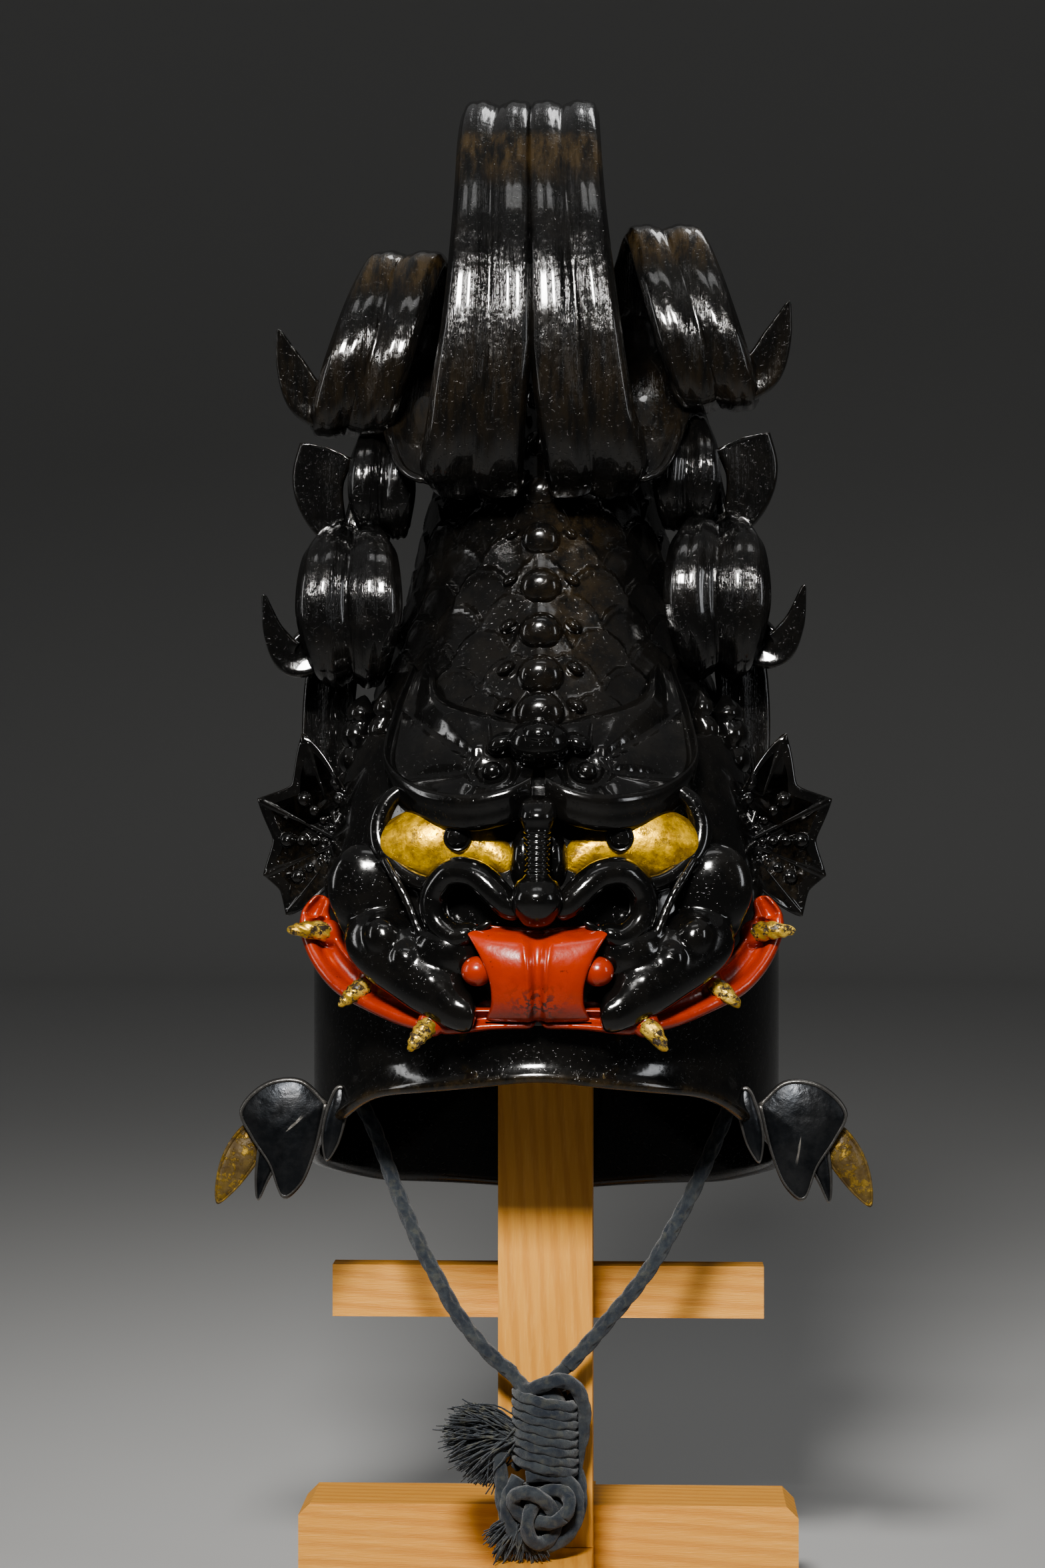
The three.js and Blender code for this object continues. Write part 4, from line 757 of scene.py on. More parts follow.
NOSE = table("out up radius",
    (0.24, 1.04, 0.25), (0.38, 1.01, 0.62), (0.46, 0.95, 0.74), (0.47, 0.89, 0.56),
    (0.5, 0.8, 0.46), (0.56, 0.7, 0.48), (0.6, 0.66, 0.82), (0.64, 0.6, 1), (0.62, 0.54, 0.92),
    (0.56, 0.48, 0.55), (0.5, 0.455, 0.1))
NOSE_DIAMETER = 23
NOSE_RINGS = {"low": 0.69, "high": 0.89, "count": 8, "relief": 0.055, "fade": 0.015}
NOSE_FLANK = ((6.5, -128, 374), (6.5, 9, 15))


def make_nose():
    share = ticks(150)
    out, up, radius = (values(NOSE[key], share) for key in ("out", "up", "radius"))
    low, high, fade = NOSE_RINGS["low"], NOSE_RINGS["high"], NOSE_RINGS["fade"]
    ringed = step(high - up, 0, fade) * step(up - low, 0, fade) * NOSE_RINGS["relief"]
    radius = radius + ringed * np.sin((high - up) / (high - low) * NOSE_RINGS["count"] * 2 * math.pi)
    size = radius * (NOSE_DIAMETER - 0.6) / 2
    centre = face(0, out, up)
    grid = oval_rings(size, centre[:, 1] - size, centre[:, 1] + size, centre[:, 2], 44)
    flanks = [mirrored(ball(*NOSE_FLANK, 24, 20), sign) for sign in SIDES.values()]
    return make("nose_shell", [skin(grid), *flanks], BLACK, "nose")


NOSTRIL = table("x out up width",
    (0.08, 0.5, 0.5, 0.7), (0.17, 0.44, 0.6, 1), (0.28, 0.34, 0.69, 1.05),
    (0.39, 0.22, 0.69, 1.05), (0.46, 0.12, 0.6, 1), (0.45, 0.14, 0.49, 0.95),
    (0.36, 0.24, 0.42, 0.9), (0.26, 0.3, 0.46, 0.75))
NOSTRIL_THICKNESS, ROLL_DEPTH = 13.5, 1.3
NOSTRIL_LIP = ((0.2, 0.38, 0.49), (0.28, 0.34, 0.44), (0.36, 0.28, 0.42), (0.42, 0.18, 0.46))


def make_nostril(side, sign):
    share = ticks(90)
    line = curve(face(sign * NOSTRIL["x"], NOSTRIL["out"], NOSTRIL["up"]), share)
    width = values(NOSTRIL["width"], share) * NOSTRIL_THICKNESS / 2 * ends(share, 0.08)
    shells = [skin(turned(line, BACK, width, 32, ROLL_DEPTH))]
    lip = curve([face(sign * x, out, up) for x, out, up in NOSTRIL_LIP], share)
    shells.append(skin(turned(lip, BACK, 2.2 * ends(share, 0.2), 16)))
    return make(f"nostril_roll_{side}", shells, BLACK, f"nostril_{side}",
                voxel=0.8, smooth=4)


# Cheeks: a round dished lobe beside the ear, and a lower lobe that runs to a point by the lip

CHEEK_LOW = table("x out up width",
    (0.8, -0.36, 0.5, 16), (0.74, -0.22, 0.42, 30), (0.65, -0.06, 0.34, 32),
    (0.56, 0.08, 0.27, 30), (0.46, 0.2, 0.19, 27), (0.37, 0.27, 0.11, 20), (0.31, 0.31, 0.08, 17),
    (0.27, 0.31, 0.075, 13))
CHEEK_THICKNESS = 22
CHEEK_BALLS = (
    ((0.765, -0.36, 0.61), (18.5, 10, 22), 48, 32, -0.28),
    ((0.39, 0.1, 0.35), (17, 12.5, 14), 40, 28, 0),
    ((0.68, 0.02, 0.4), (9, 9, 11.25), 32, 20, -0.5),
    ((0.575, 0.15, 0.3), (8.5, 8.5, 10.625), 32, 20, -0.5),
    ((0.46, 0.26, 0.2), (8, 8, 10), 32, 20, -0.5),
)
CHEEK_RIMS = (
    (2.3, ((0.7, -0.16, 0.77), (0.65, -0.05, 0.69), (0.585, 0.06, 0.58), (0.535, 0.14, 0.46),
           (0.5, 0.2, 0.36))),
    (2.0, ((0.79, -0.35, 0.79), (0.88, -0.44, 0.72), (0.915, -0.46, 0.6), (0.88, -0.36, 0.46),
           (0.79, -0.2, 0.34), (0.68, -0.02, 0.24), (0.57, 0.12, 0.165), (0.47, 0.24, 0.1))),
)


def make_cheek(side, sign):
    share = ticks(70)
    line = curve(face(sign * CHEEK_LOW["x"], CHEEK_LOW["out"], CHEEK_LOW["up"]), share)
    width = values(CHEEK_LOW["width"], share) / 2 * ends(share, 0.1)
    depth = CHEEK_THICKNESS / 2 * np.sqrt(width / 16)
    shells = [skin(turned(line, BACK, width, 48, depth / width))]
    for (x, out, up), radii, sides, rings, tilt in CHEEK_BALLS:
        shells.append(ball(face(sign * x, out, up), radii, sides, rings, sign * tilt))
    for size, places in CHEEK_RIMS:
        rim = curve([face(sign * x, out, up) for x, out, up in places], share)
        shells.append(skin(turned(rim, BACK, size * ends(share, 0.1), 14)))
    return make(f"cheek_lobes_{side}", shells, BLACK, f"cheek_{side}",
                voxel=1.1, smooth=7)


# Upper lip: a scroll with a wide groove between thin raised borders

LIP = table("up half bulge",
    (1, 1, 0.1), (0.95, 0.96, 0.45), (0.85, 0.86, 0.78), (0.65, 0.7, 1), (0.42, 0.61, 0.97),
    (0.2, 0.6, 0.75), (0.06, 0.66, 0.4), (0, 0.69, 0.1))
LIP_WIDTH, LIP_HEIGHT, LIP_THICKNESS, LIP_FOOT = 68, 41, 11, (0.2, 0.045)
LIP_PROFILE = table("share back",
    (-1, 0.6), (-0.97, 0.36), (-0.8, 0.2), (-0.5, 0.07), (-0.28, 0.0), (-0.2, -0.05),
    (-0.14, 0.03), (-0.07, 0.2), (0, 0.26), (0.07, 0.2), (0.14, 0.03), (0.2, -0.05), (0.28, 0.0),
    (0.5, 0.07), (0.8, 0.2), (0.97, 0.36), (1, 0.6))


def make_lip():
    share = ticks(80)
    up, half, bulge = (values(LIP[key], share) for key in ("up", "half", "bulge"))
    base = face(0, *LIP_FOOT)
    loop = ticks(90)
    across = values(LIP_PROFILE["share"], loop)
    back = values(LIP_PROFILE["back"], loop)
    front = base[1] - (0.3 + 1.5 * bulge) * LIP_THICKNESS
    x = across[None] * half[:, None] * LIP_WIDTH / 2
    y = front[:, None] + back[None] * LIP_THICKNESS
    dip = 1.8 * np.exp(-(across[None] / 0.3) ** 2) * step(up[:, None], 0.8, 1)
    flare = 2.2 * np.abs(across[None]) ** 3 * step(up[:, None], 0.6, 1)
    z = base[2] + up[:, None] * LIP_HEIGHT - dip + flare
    outer = np.stack([x, y, z + 0 * x], -1)
    inner = np.stack([x[:, ::-1][:, ::6], base[1] - 0.3 * LIP_THICKNESS + 0 * x[:, ::6],
                      z[:, ::-1][:, ::6] + 0 * x[:, ::6]], -1)

    def wear_and_reflection(points):
        return bump(points[:, 0], 0, 11) * bump(points[:, 2], 313, 7)

    shell = skin(np.concatenate([outer, inner], 1))
    return make("lip_scroll", [shell], RED, "upper_lip", wear_and_reflection=wear_and_reflection)


LIP_BALL = {"x": 0.265, "out": 0.4, "up": 0.27, "radius": 7}


def make_lip_ball(side, sign):
    at = face(sign * LIP_BALL["x"], LIP_BALL["out"], LIP_BALL["up"])
    radius = LIP_BALL["radius"]
    shells = [ball(at, (radius, radius, radius * 0.95), 40, 30)]
    return make(f"lip_pearl_{side}", shells, RED, f"lip_ball_{side}")


# Mouth band: a thin upper wall, a dark recess and a rolled lower lip, with flares at the teeth

BAND = table("x out up height",
    (0.003, 0.14, 0.06, 0.55), (0.2, 0.13, 0.055, 0.55), (0.4, 0.08, 0.05, 0.75),
    (0.55, -0.08, 0.09, 1), (0.72, -0.3, 0.15, 1), (0.88, -0.62, 0.23, 1),
    (0.99, -0.9, 0.36, 0.95), (1.03, -1.02, 0.48, 0.8), (0.99, -1.04, 0.58, 0.4))
MOUTH_HEIGHT, MOUTH_THICKNESS = 16, 10
BAND_LOOP = table("depth high",
    (-0.5, 0.5), (-0.56, 0.46), (-0.5, 0.38), (-0.2, 0.3), (-0.05, 0.1), (-0.06, -0.08),
    (-0.3, -0.12), (-0.56, -0.2), (-0.66, -0.33), (-0.56, -0.47), (-0.25, -0.55), (0.2, -0.5),
    (0.5, -0.3), (0.5, 0.2), (0.3, 0.5), (-0.1, 0.56), (-0.5, 0.5))
# Each tooth has its name, its root's x, out and up, and its tip's x and up
TEETH = (("outer", 0.93, -0.98, 0.41, 1.15, 0.43), ("middle", 0.75, -0.55, 0.2, 0.895, 0.1),
         ("inner", 0.46, 0.06, 0.05, 0.565, -0.08))
TOOTH_TAPER, TOOTH_THICKNESS = (0.8, 1, 0.92, 0.7, 0.3), 9


def tooth_places(sign, row):
    _, x, out, up, tip_x, tip_up = row
    base, tip = face(sign * x, out + 0.1, up), face(sign * tip_x, out + 0.34, tip_up)
    return base, mix(base, tip, 0.5) + (0, -TOOTH_THICKNESS / 4, 1), tip


def make_band(side, sign):
    share = ticks(150)
    line = curve(face(sign * BAND["x"], BAND["out"], BAND["up"]), share)
    height = values(BAND["height"], share) * MOUTH_HEIGHT * ends(share, 0.03)
    loop = ticks(61)[:-1]
    depth = values(BAND_LOOP["depth"], loop)[None] * MOUTH_THICKNESS * ends(share, 0.03)[:, None]
    high = values(BAND_LOOP["high"], loop)[None] * height[:, None]
    _, out = frames(line, BACK)
    upward = np.where(out[:, 2:] > 0, 1, -1)
    shells = [skin(sweep(line, BACK, np.stack([depth, high * upward], -1)))]
    for row in TEETH:
        base, middle, _ = tooth_places(sign, row)
        shells.append(ball(mix(base, middle, 0.25), (5.6, 5.2, 6.4), 28, 18, -sign * 0.6))
    return make(f"mouth_roll_{side}", shells, RED, f"mouth_band_{side}",
                voxel=1.0, smooth=2)


def make_tooth(side, sign, row):
    share = ticks(50)
    line = curve(tooth_places(sign, row), share)
    size = values(TOOTH_TAPER, share) * TOOTH_THICKNESS / 2 * ends(share, 0.12)
    grid = turned(line, BACK, size, 28)
    grid = swollen(grid, 0.25 * np.sin(grid[..., 0] * 1.1 + grid[..., 2] * 1.7))
    return make(f"fang_{row[0]}_{side}", [skin(grid)], GOLD_TOOTH, f"tooth_{row[0]}_{side}")


make_nose()
make_lip()
for side, sign in SIDES.items():
    make_brow(side, sign)
    make_eye(side, sign)
    make_nostril(side, sign)
    make_cheek(side, sign)
    make_lip_ball(side, sign)
    make_band(side, sign)
    for tooth in TEETH:
        make_tooth(side, sign, tooth)


# Ears: a scalloped web on four rays, with rows of beads between them

EAR_ROOT, EAR_SETBACK, EAR_SWEEP = (93, 382), 55, math.radians(18)
EAR_TIPS = table("x z",
    (113, 433), (136, 402), (133, 366), (121, 347))
EAR_DIPS = table("x z",
    (116, 411), (128, 382), (120, 354))
EAR_THICKNESS = 2.4
EAR_BEADS = ((9, 1.8), (14, 2.4), (20, 3.1), (27, 3.8))
EAR_FLARE, EAR_TUCK, EAR_FADE, EAR_DISH = 0.75, (24, 20), 0.5, 3.5
# Width and height of a ray, at its root and at its tip
EAR_RAY = {"root": (1.9, 2.6), "tip": (1.0, 1.2)}


def polar(x, z):
    return np.arctan2(z - EAR_ROOT[1], x - EAR_ROOT[0]), np.hypot(x - EAR_ROOT[0], z - EAR_ROOT[1])


def make_ear(side, sign):
    tip_turn, tip_reach = polar(EAR_TIPS["x"], EAR_TIPS["z"])
    _, dip_reach = polar(EAR_DIPS["x"], EAR_DIPS["z"])
    angle = np.linspace(tip_turn[0] + EAR_FLARE, tip_turn[-1] - EAR_FLARE, 144)
    reach = np.zeros_like(angle)
    for i in range(3):
        inside = (angle <= tip_turn[i]) & (angle >= tip_turn[i + 1])
        s = (tip_turn[i] - angle[inside]) / (tip_turn[i] - tip_turn[i + 1])
        line = mix(tip_reach[i], tip_reach[i + 1], s)
        depth = mix(tip_reach[i], tip_reach[i + 1], 0.5) - dip_reach[i]
        reach[inside] = line - depth * (1 - np.abs(2 * s - 1) ** 1.5)
    for end, beyond in ((0, angle - tip_turn[0]), (-1, tip_turn[-1] - angle)):
        past = beyond > 0
        reach[past] = mix(tip_reach[end], EAR_TUCK[end], step(beyond[past], 0, EAR_FADE) ** 0.6)
    way = np.linspace(0.02, 1, 84)[:, None]
    x, z = way * reach * np.cos(angle), way * reach * np.sin(angle)
    run = way * reach[None]
    ridge = np.zeros_like(x)
    for turn in tip_turn:
        off = np.abs(angle - turn)[None] * run
        width, height = (mix(a, b, way) for a, b in zip(EAR_RAY["root"], EAR_RAY["tip"]))
        ridge = np.maximum(ridge, bump(off, 0, width) * height)
    rows = [(a + b) / 2 for a, b in zip(tip_turn, tip_turn[1:])] + [tip_turn[0] + 0.3]
    for middle in rows:
        off = np.abs(angle - middle)[None] * run
        for distance, size in EAR_BEADS:
            dome = 1 - ((run - distance) ** 2 + off**2) / size**2
            ridge = np.maximum(ridge, size * np.sqrt(np.clip(dome, 0, 1)))
    edge = np.sqrt(np.clip((1 - way) / 0.05, 0, 1)) + 0 * x
    thick = (EAR_THICKNESS / 2 + ridge) * mix(0.25, 1, edge)
    dish = -EAR_DISH * way**2 + 0 * x

    def placed(y):
        px = EAR_ROOT[0] + x * math.cos(EAR_SWEEP) - y * math.sin(EAR_SWEEP)
        py = -EAR_SETBACK + x * math.sin(EAR_SWEEP) + y * math.cos(EAR_SWEEP)
        return np.stack([sign * px, py, EAR_ROOT[1] + z], -1)

    front, back = placed(dish - thick), placed(dish + thick * 0.8)
    grid = np.concatenate([front, back[:, ::-1]], 1)
    return make(f"webbed_ear_{side}", [skin(grid)], BLACK, f"ear_{side}")


RIDGE = table("x up size",
    (0.88, 0.98, 0.7), (0.9, 1.08, 1.2), (0.885, 1.14, 1.02), (0.89, 1.2, 1.25),
    (0.875, 1.26, 1.02), (0.88, 1.32, 1.25), (0.855, 1.38, 1.0), (0.86, 1.43, 1.1),
    (0.845, 1.51, 0.4))
RIDGE_SETBACK, RIDGE_THICKNESS = 42, 13
INNER_RIDGE = {"inset": 12, "forward": 16, "lift": 2, "size": 0.72}


def make_ridge(side, sign):
    share = ticks(80)
    places = face(sign * RIDGE["x"], 0, RIDGE["up"])
    places[:, 1] = -RIDGE_SETBACK
    line = curve(places, share)
    size = values(RIDGE["size"], share) * RIDGE_THICKNESS / 2 * ends(share, 0.1)
    inner = line + (-sign * INNER_RIDGE["inset"], -INNER_RIDGE["forward"], INNER_RIDGE["lift"])
    rows = ((line, size), (inner, size * INNER_RIDGE["size"]))
    shells = [skin(turned(middle, BACK, thick, 24, ROLL_DEPTH)) for middle, thick in rows]
    return make(f"lumpy_ridge_{side}", shells, BLACK, f"gill_ridge_{side}")


for side, sign in SIDES.items():
    make_ear(side, sign)
    make_ridge(side, sign)


# Body: scales with their rounded edges up, and a spine of knobs with small bumps beside them

BODY = table("up half front back",
    (0, 1, 1, 1.02), (0.072, 0.97, 1, 1), (0.167, 0.93, 0.94, 0.96), (0.242, 0.865, 0.79, 0.93),
    (0.355, 0.737, 0.59, 0.86), (0.45, 0.653, 0.446, 0.82), (0.55, 0.58, 0.268, 0.8),
    (0.654, 0.484, 0.07, 0.77), (0.78, 0.4, -0.107, 0.75), (0.906, 0.337, -0.25, 0.73),
    (1, 0.2, -0.36, 0.68))
BODY_POWER = 2.15
SCALE_WIDTH, SCALE_ROW, SCALE_RELIEF, SCALE_FALL = 28, 15, 1.9, 0.16
SPINE = {"height": 3.0, "width": 8, "from": (0.2, 0.26), "to": (0.85, 0.9)}
KNOBS = {"count": 10, "from": 0.215, "to": 0.86, "crowding": 1.12, "smallest": 0.6,
         "radii": np.array([11.5, 9, 11]), "side": np.array([16.5, 3.5, 4]),
         "side_radii": np.array([5.4, 6.5, 3.6])}


def body_at(up):
    up = np.atleast_1d(up)
    return {"half": read(BODY, "up", "half", up) * BODY_WIDTH / 2,
            "front": -read(BODY, "up", "front", up) * BODY_DEPTH / 2,
            "back": read(BODY, "up", "back", up) * BODY_DEPTH / 2,
            "z": BODY_Z + up * BODY_HEIGHT, "shift": -BODY_LEAN * up**2}


def scales(run, z):
    """The height of overlapping scales at a distance from the spine and a height."""
    row = (z + SCALE_FALL * np.abs(run)) / SCALE_ROW
    height = np.zeros_like(row)
    first = np.floor(row) - 1
    taken = np.zeros(row.shape, bool)
    for offset in range(4):
        number = first + offset
        across = run / SCALE_WIDTH + (number % 2) * 0.5
        across = across - np.floor(across) - 0.5
        arch = 0.25 + 1.0 * np.sqrt(np.clip(1 - (2 * across) ** 2 * 0.98, 0, 1))
        below = number + arch - row
        here = (below > 0) & ~taken
        lift = (1 - np.clip(below / 1.35, 0, 1)) ** 1.3 + 0.25 * bump(below, 0.09, 0.08)
        height[here] = lift[here]
        taken |= here
    return height * SCALE_RELIEF


def make_body():
    up = ticks(190)
    at = body_at(up)
    tip = np.sqrt(np.maximum(1 - np.clip((up - 0.95) / 0.05, 0, 1) ** 2, 0.01))
    middle = mix(at["front"], at["back"], 0.5)
    front, back = mix(middle, at["front"], tip), mix(middle, at["back"], tip)
    grid = oval_rings(at["half"] * tip, front, back, at["z"], 290, BODY_POWER, at["shift"], 0.4)
    around = np.linalg.norm(np.roll(grid, -1, 1) - grid, axis=2)
    run = np.concatenate([np.zeros((len(up), 1)), np.cumsum(around, 1)[:, :-1]], 1)
    total = around.sum(1)[:, None]
    run = np.where(run > total / 2, run - total, run)
    fade = step(up[:, None], 0.0, 0.03) * (1 - step(up[:, None], 0.93, 1))
    height = scales(run, grid[..., 2]) * fade * step(np.abs(run), 3, 9)
    reach = step(up[:, None], *SPINE["from"]) * (1 - step(up[:, None], *SPINE["to"]))
    spine = SPINE["height"] * bump(run, 0, SPINE["width"]) * reach
    shells = [skin(swollen(grid, height + spine))]
    for i in range(KNOBS["count"]):
        share = i / (KNOBS["count"] - 1)
        here = body_at(mix(KNOBS["from"], KNOBS["to"], share ** KNOBS["crowding"]))
        size = mix(1, KNOBS["smallest"], share)
        x, y, z = float(here["shift"][0]), float(here["front"][0]), float(here["z"][0])
        shells.append(ball((x, y - 1.5, z), KNOBS["radii"] * size, 36, 20, power=0.8))
        for sign in SIDES.values():
            place = np.array([x, y, z]) + KNOBS["side"] * size * (sign, 1, 1)
            shells.append(ball(place, KNOBS["side_radii"] * size, 16, 10, -sign * 0.6))

    def wear_and_reflection(points):
        x, y, z = points.T
        # A brown patch right of the spine is a painted reflection of the warm room; a faint brown tint
        # runs down the front middle
        patch = bump(x, 14, 15) * (y < 0) * step(z, 430, 500) * (1 - step(z, 600, 660))
        return 0.4 * patch + 0.06 * bump(x, 0, 34) * (y < 0)

    return make("scaled_body", shells, SCALED, "fish_body", wear_and_reflection=wear_and_reflection)


make_body()


# Tail, lobes and side fins: fluted ribbons, hooks and webs

def ribbon(rows, width, thickness, ridges, sign=1, lift=0, shift=0.0, count=220, relief=3.2,
           part=(-1, 1), slit=None):
    """A fluted ribbon, or the part of one between two shares of its half width."""
    share = ticks(count)
    line = curve(tail(sign * rows["x"] + shift, rows["forward"], rows["up"], lift), share)
    wide = values(rows["width"], share)[:, None] * width / 2
    sides = [side * wide if side else slit * np.sign(sum(part)) for side in part]
    tip = ends(share, 0.035)[:, None]
    outer = ticks(20 * ridges + 1)[None]
    inner = np.linspace(1, 0, 8 * ridges + 1)[None]
    wander = outer + 0.025 * np.sin(share[:, None] * 15 + 3 * sides[0].mean()) * np.sin(math.pi * outer)
    edge = step(np.minimum(outer, 1 - outer), 0, 0.06)
    ridge = np.abs(np.sin(math.pi * ridges * wander)) ** 0.6
    fine = 0.16 * np.abs(np.sin(math.pi * ridges * 2.5 * wander))
    high = thickness / 2 * mix(0.3, 1, edge) + relief * (ridge + fine - 0.35) * edge
    back = np.abs(np.sin(math.pi * ridges * inner)) ** 0.8
    inner_edge = step(np.minimum(inner, 1 - inner), 0, 0.06)
    low = -thickness / 2 * mix(0.4, 1, inner_edge) + 0.4 * relief * back
    section = np.concatenate([
        np.stack([mix(*sides, outer), high * tip], -1),
        np.stack([mix(*sides, inner), low * tip], -1)], 1)
    return skin(sweep(line, ACROSS, section))


def leaf(rows, width, sign, lift, thickness=6.0, dish=2.2):
    """A leaf that faces the front, dished between two raised edges."""
    share = ticks(64)
    line = curve(tail(sign * rows["x"] + FIN_SHIFT, rows["forward"], rows["up"], lift), share)
    wide = values(rows["width"], share)[:, None] * width / 2 * ends(share, 0.03)[:, None]
    loop = np.linspace(-1, 1, 27)[None]
    bulge = np.sqrt(np.clip(1 - loop**2, 0, 1))
    hollow = dish * (1 - loop**2) ** 2 * np.clip(wide / 10, 0, 1)
    near = -thickness / 2 * bulge ** 0.5 + hollow
    far = thickness / 2 * bulge
    section = np.concatenate([
        np.stack([near + 0 * wide, loop * wide], -1),
        np.stack([far[:, ::-1] + 0 * wide, loop[:, ::-1] * wide], -1)[:, 1:-1]], 1)
    return skin(sweep(line, BACK, section))


TAIL_BAND = table("x forward up width",
    (0, -0.62, 0.5, 0.6), (-0.02, -0.72, 0.66, 0.6), (-0.04, -0.62, 0.84, 0.62),
    (-0.06, -0.32, 0.95, 0.64), (-0.07, 0.05, 0.972, 0.65), (-0.07, 0.42, 0.91, 0.67),
    (-0.06, 0.68, 0.78, 0.71), (-0.05, 0.79, 0.62, 0.81), (-0.05, 0.77, 0.47, 0.95),
    (-0.04, 0.64, 0.39, 1.06), (-0.04, 0.47, 0.365, 0.92), (-0.04, 0.34, 0.39, 0.66))
TAIL_WEB = table("x forward up width",
    (0.4, 0.6, 0.37, 0.12), (0.53, 0.5, 0.41, 0.22), (0.6, 0.28, 0.5, 0.3),
    (0.54, -0.1, 0.59, 0.34), (0.36, -0.5, 0.64, 0.3))
LOBE = table("x forward up width",
    (0.3, -0.6, 0.47, 0.85), (0.44, -0.56, 0.58, 0.95), (0.55, -0.36, 0.69, 0.925),
    (0.6, -0.08, 0.735, 0.9), (0.63, 0.2, 0.72, 0.925), (0.69, 0.4, 0.65, 0.975),
    (0.78, 0.48, 0.55, 1), (0.86, 0.4, 0.475, 0.975), (0.9, 0.22, 0.46, 0.85))
LOBE_HOOK = table("x forward up width",
    (0.96, 0.38, 0.49, 0.65), (1.07, 0.42, 0.505, 0.5), (1.145, 0.44, 0.555, 0.34),
    (1.2, 0.46, 0.61, 0.05))
FIN_STRIP = table("x forward up width",
    (0.96, 0.12, -0.2, 0.48), (1, 0.1, -0.04, 0.5), (0.98, 0.07, 0.08, 0.5),
    (0.9, 0.02, 0.2, 0.48), (0.8, -0.06, 0.34, 0.48), (0.7, -0.2, 0.48, 0.5),
    (0.56, -0.42, 0.56, 0.54))
FIN_LOW = table("x forward up width",
    (0.86, 0.02, 0.12, 0.7), (0.86, 0.1, 0.22, 0.7), (0.86, 0.28, 0.282, 0.62),
    (0.86, 0.46, 0.25, 0.9), (0.86, 0.54, 0.165, 1.0), (0.86, 0.46, 0.09, 0.78),
    (0.86, 0.28, 0.07, 0.6))
FIN_LOW_HOOK = table("x forward up width",
    (1.0, 0.4, 0.115, 0.5), (1.13, 0.42, 0.095, 0.36), (1.215, 0.44, 0.13, 0.22),
    (1.27, 0.46, 0.195, 0.04))
FIN_HIGH = table("x forward up width",
    (0.72, 0.02, 0.34, 0.5), (0.72, 0.08, 0.41, 0.52), (0.72, 0.2, 0.445, 0.46),
    (0.72, 0.33, 0.41, 0.6), (0.72, 0.36, 0.355, 0.64), (0.72, 0.27, 0.31, 0.52),
    (0.72, 0.14, 0.315, 0.48))
FIN_HIGH_CUP = table("x forward up width",
    (0.86, 0.2, 0.295, 0.16), (0.95, 0.24, 0.3, 0.3), (1.01, 0.26, 0.335, 0.42),
    (1.03, 0.27, 0.38, 0.5), (0.985, 0.28, 0.43, 0.54))
TAIL_RIM = table("x forward up",
    (0.5, 0.64, 0.365), (0.6, 0.56, 0.385), (0.68, 0.4, 0.45), (0.68, 0.1, 0.53), (0.6, -0.2, 0.6))
BAND_THICKNESS, LOBE_THICKNESS, FIN_THICKNESS = 9, 7.5, 7
SLIT = {"top": 0.57, "foot": 0.3, "width": 18, "from": 0.55, "overlap": 1.2}
# Heights of the painted brown reflection below the crest, on the tail and on the lobes
TAIL_REFLECTION_BAND, LOBE_REFLECTION_BAND = (688, 716), (640, 664)


def tail_reflection(low, high):
    """A painted reflection: a brown zone below the crest that stands for the warm room mirrored in the
    lacquer, and a fainter painted band of it lower down.
    """
    def wear_and_reflection(points):
        x, y, z = points.T
        brown_mask = step(z, low - 6, low + 14) * (1 - step(z, high - 5, high)) * (y < 20)
        return 0.9 * brown_mask + 0.25 * bump(z, 590, 25)
    return wear_and_reflection


def make_tail():
    share = ticks(220)
    z = curve(tail(TAIL_BAND["x"], TAIL_BAND["forward"], TAIL_BAND["up"]), share)[:, 2:]
    top, foot = tail(0, 0, SLIT["top"])[2], tail(0, 0, SLIT["foot"])[2]
    slit = np.clip((top - z) / (top - foot), 0, 1) * SLIT["width"] / 2 * (share[:, None] > SLIT["from"])
    slit = np.maximum(slit, 0) - SLIT["overlap"]
    shells = [ribbon(TAIL_BAND, BAND_WIDTH, BAND_THICKNESS, 2, relief=3.6, part=part, slit=slit)
              for part in ((-1, 0), (0, 1))]
    along = ticks(60)
    for sign in SIDES.values():
        shells.append(leaf(TAIL_WEB, BAND_WIDTH, sign, 0, thickness=5, dish=4))
        rim = curve(tail(sign * TAIL_RIM["x"] + FIN_SHIFT, TAIL_RIM["forward"], TAIL_RIM["up"]), along)
        shells.append(skin(turned(rim, BACK, 2.0 * ends(along, 0.06), 14)))
    return make("tail_fan", shells, FLUTED, "tail_centre", wear_and_reflection=tail_reflection(*TAIL_REFLECTION_BAND))


def make_lobe(side, sign, lift):
    shells = [ribbon(LOBE, LOBE_WIDTH, LOBE_THICKNESS, 2, sign, lift, FIN_SHIFT, count=150),
              leaf(LOBE_HOOK, LOBE_WIDTH, sign, lift)]
    return make(f"tail_side_{side}", shells, FLUTED, f"tail_lobe_{side}",
                wear_and_reflection=tail_reflection(*(edge + lift for edge in LOBE_REFLECTION_BAND)))


def make_fin(side, sign, lift):
    form = {"sign": sign, "lift": lift, "shift": FIN_SHIFT}
    shells = [ribbon(FIN_STRIP, FIN_WIDTH, FIN_THICKNESS, 2, count=110, relief=4, **form),
              ribbon(FIN_LOW, FIN_WIDTH, FIN_THICKNESS, 2, count=120, relief=6, **form),
              ribbon(FIN_HIGH, FIN_WIDTH, FIN_THICKNESS, 2, count=110, relief=5, **form),
              leaf(FIN_LOW_HOOK, FIN_WIDTH, sign, lift), leaf(FIN_HIGH_CUP, FIN_WIDTH, sign, lift)]
    return make(f"fin_scrolls_{side}", shells, FLUTED, f"side_fin_{side}")


make_tail()
for side, sign in SIDES.items():
    make_lobe(side, sign, LOBE_LIFT[side])
    make_fin(side, sign, FIN_LIFT[side])


# Metal leaves at the rim's front corners

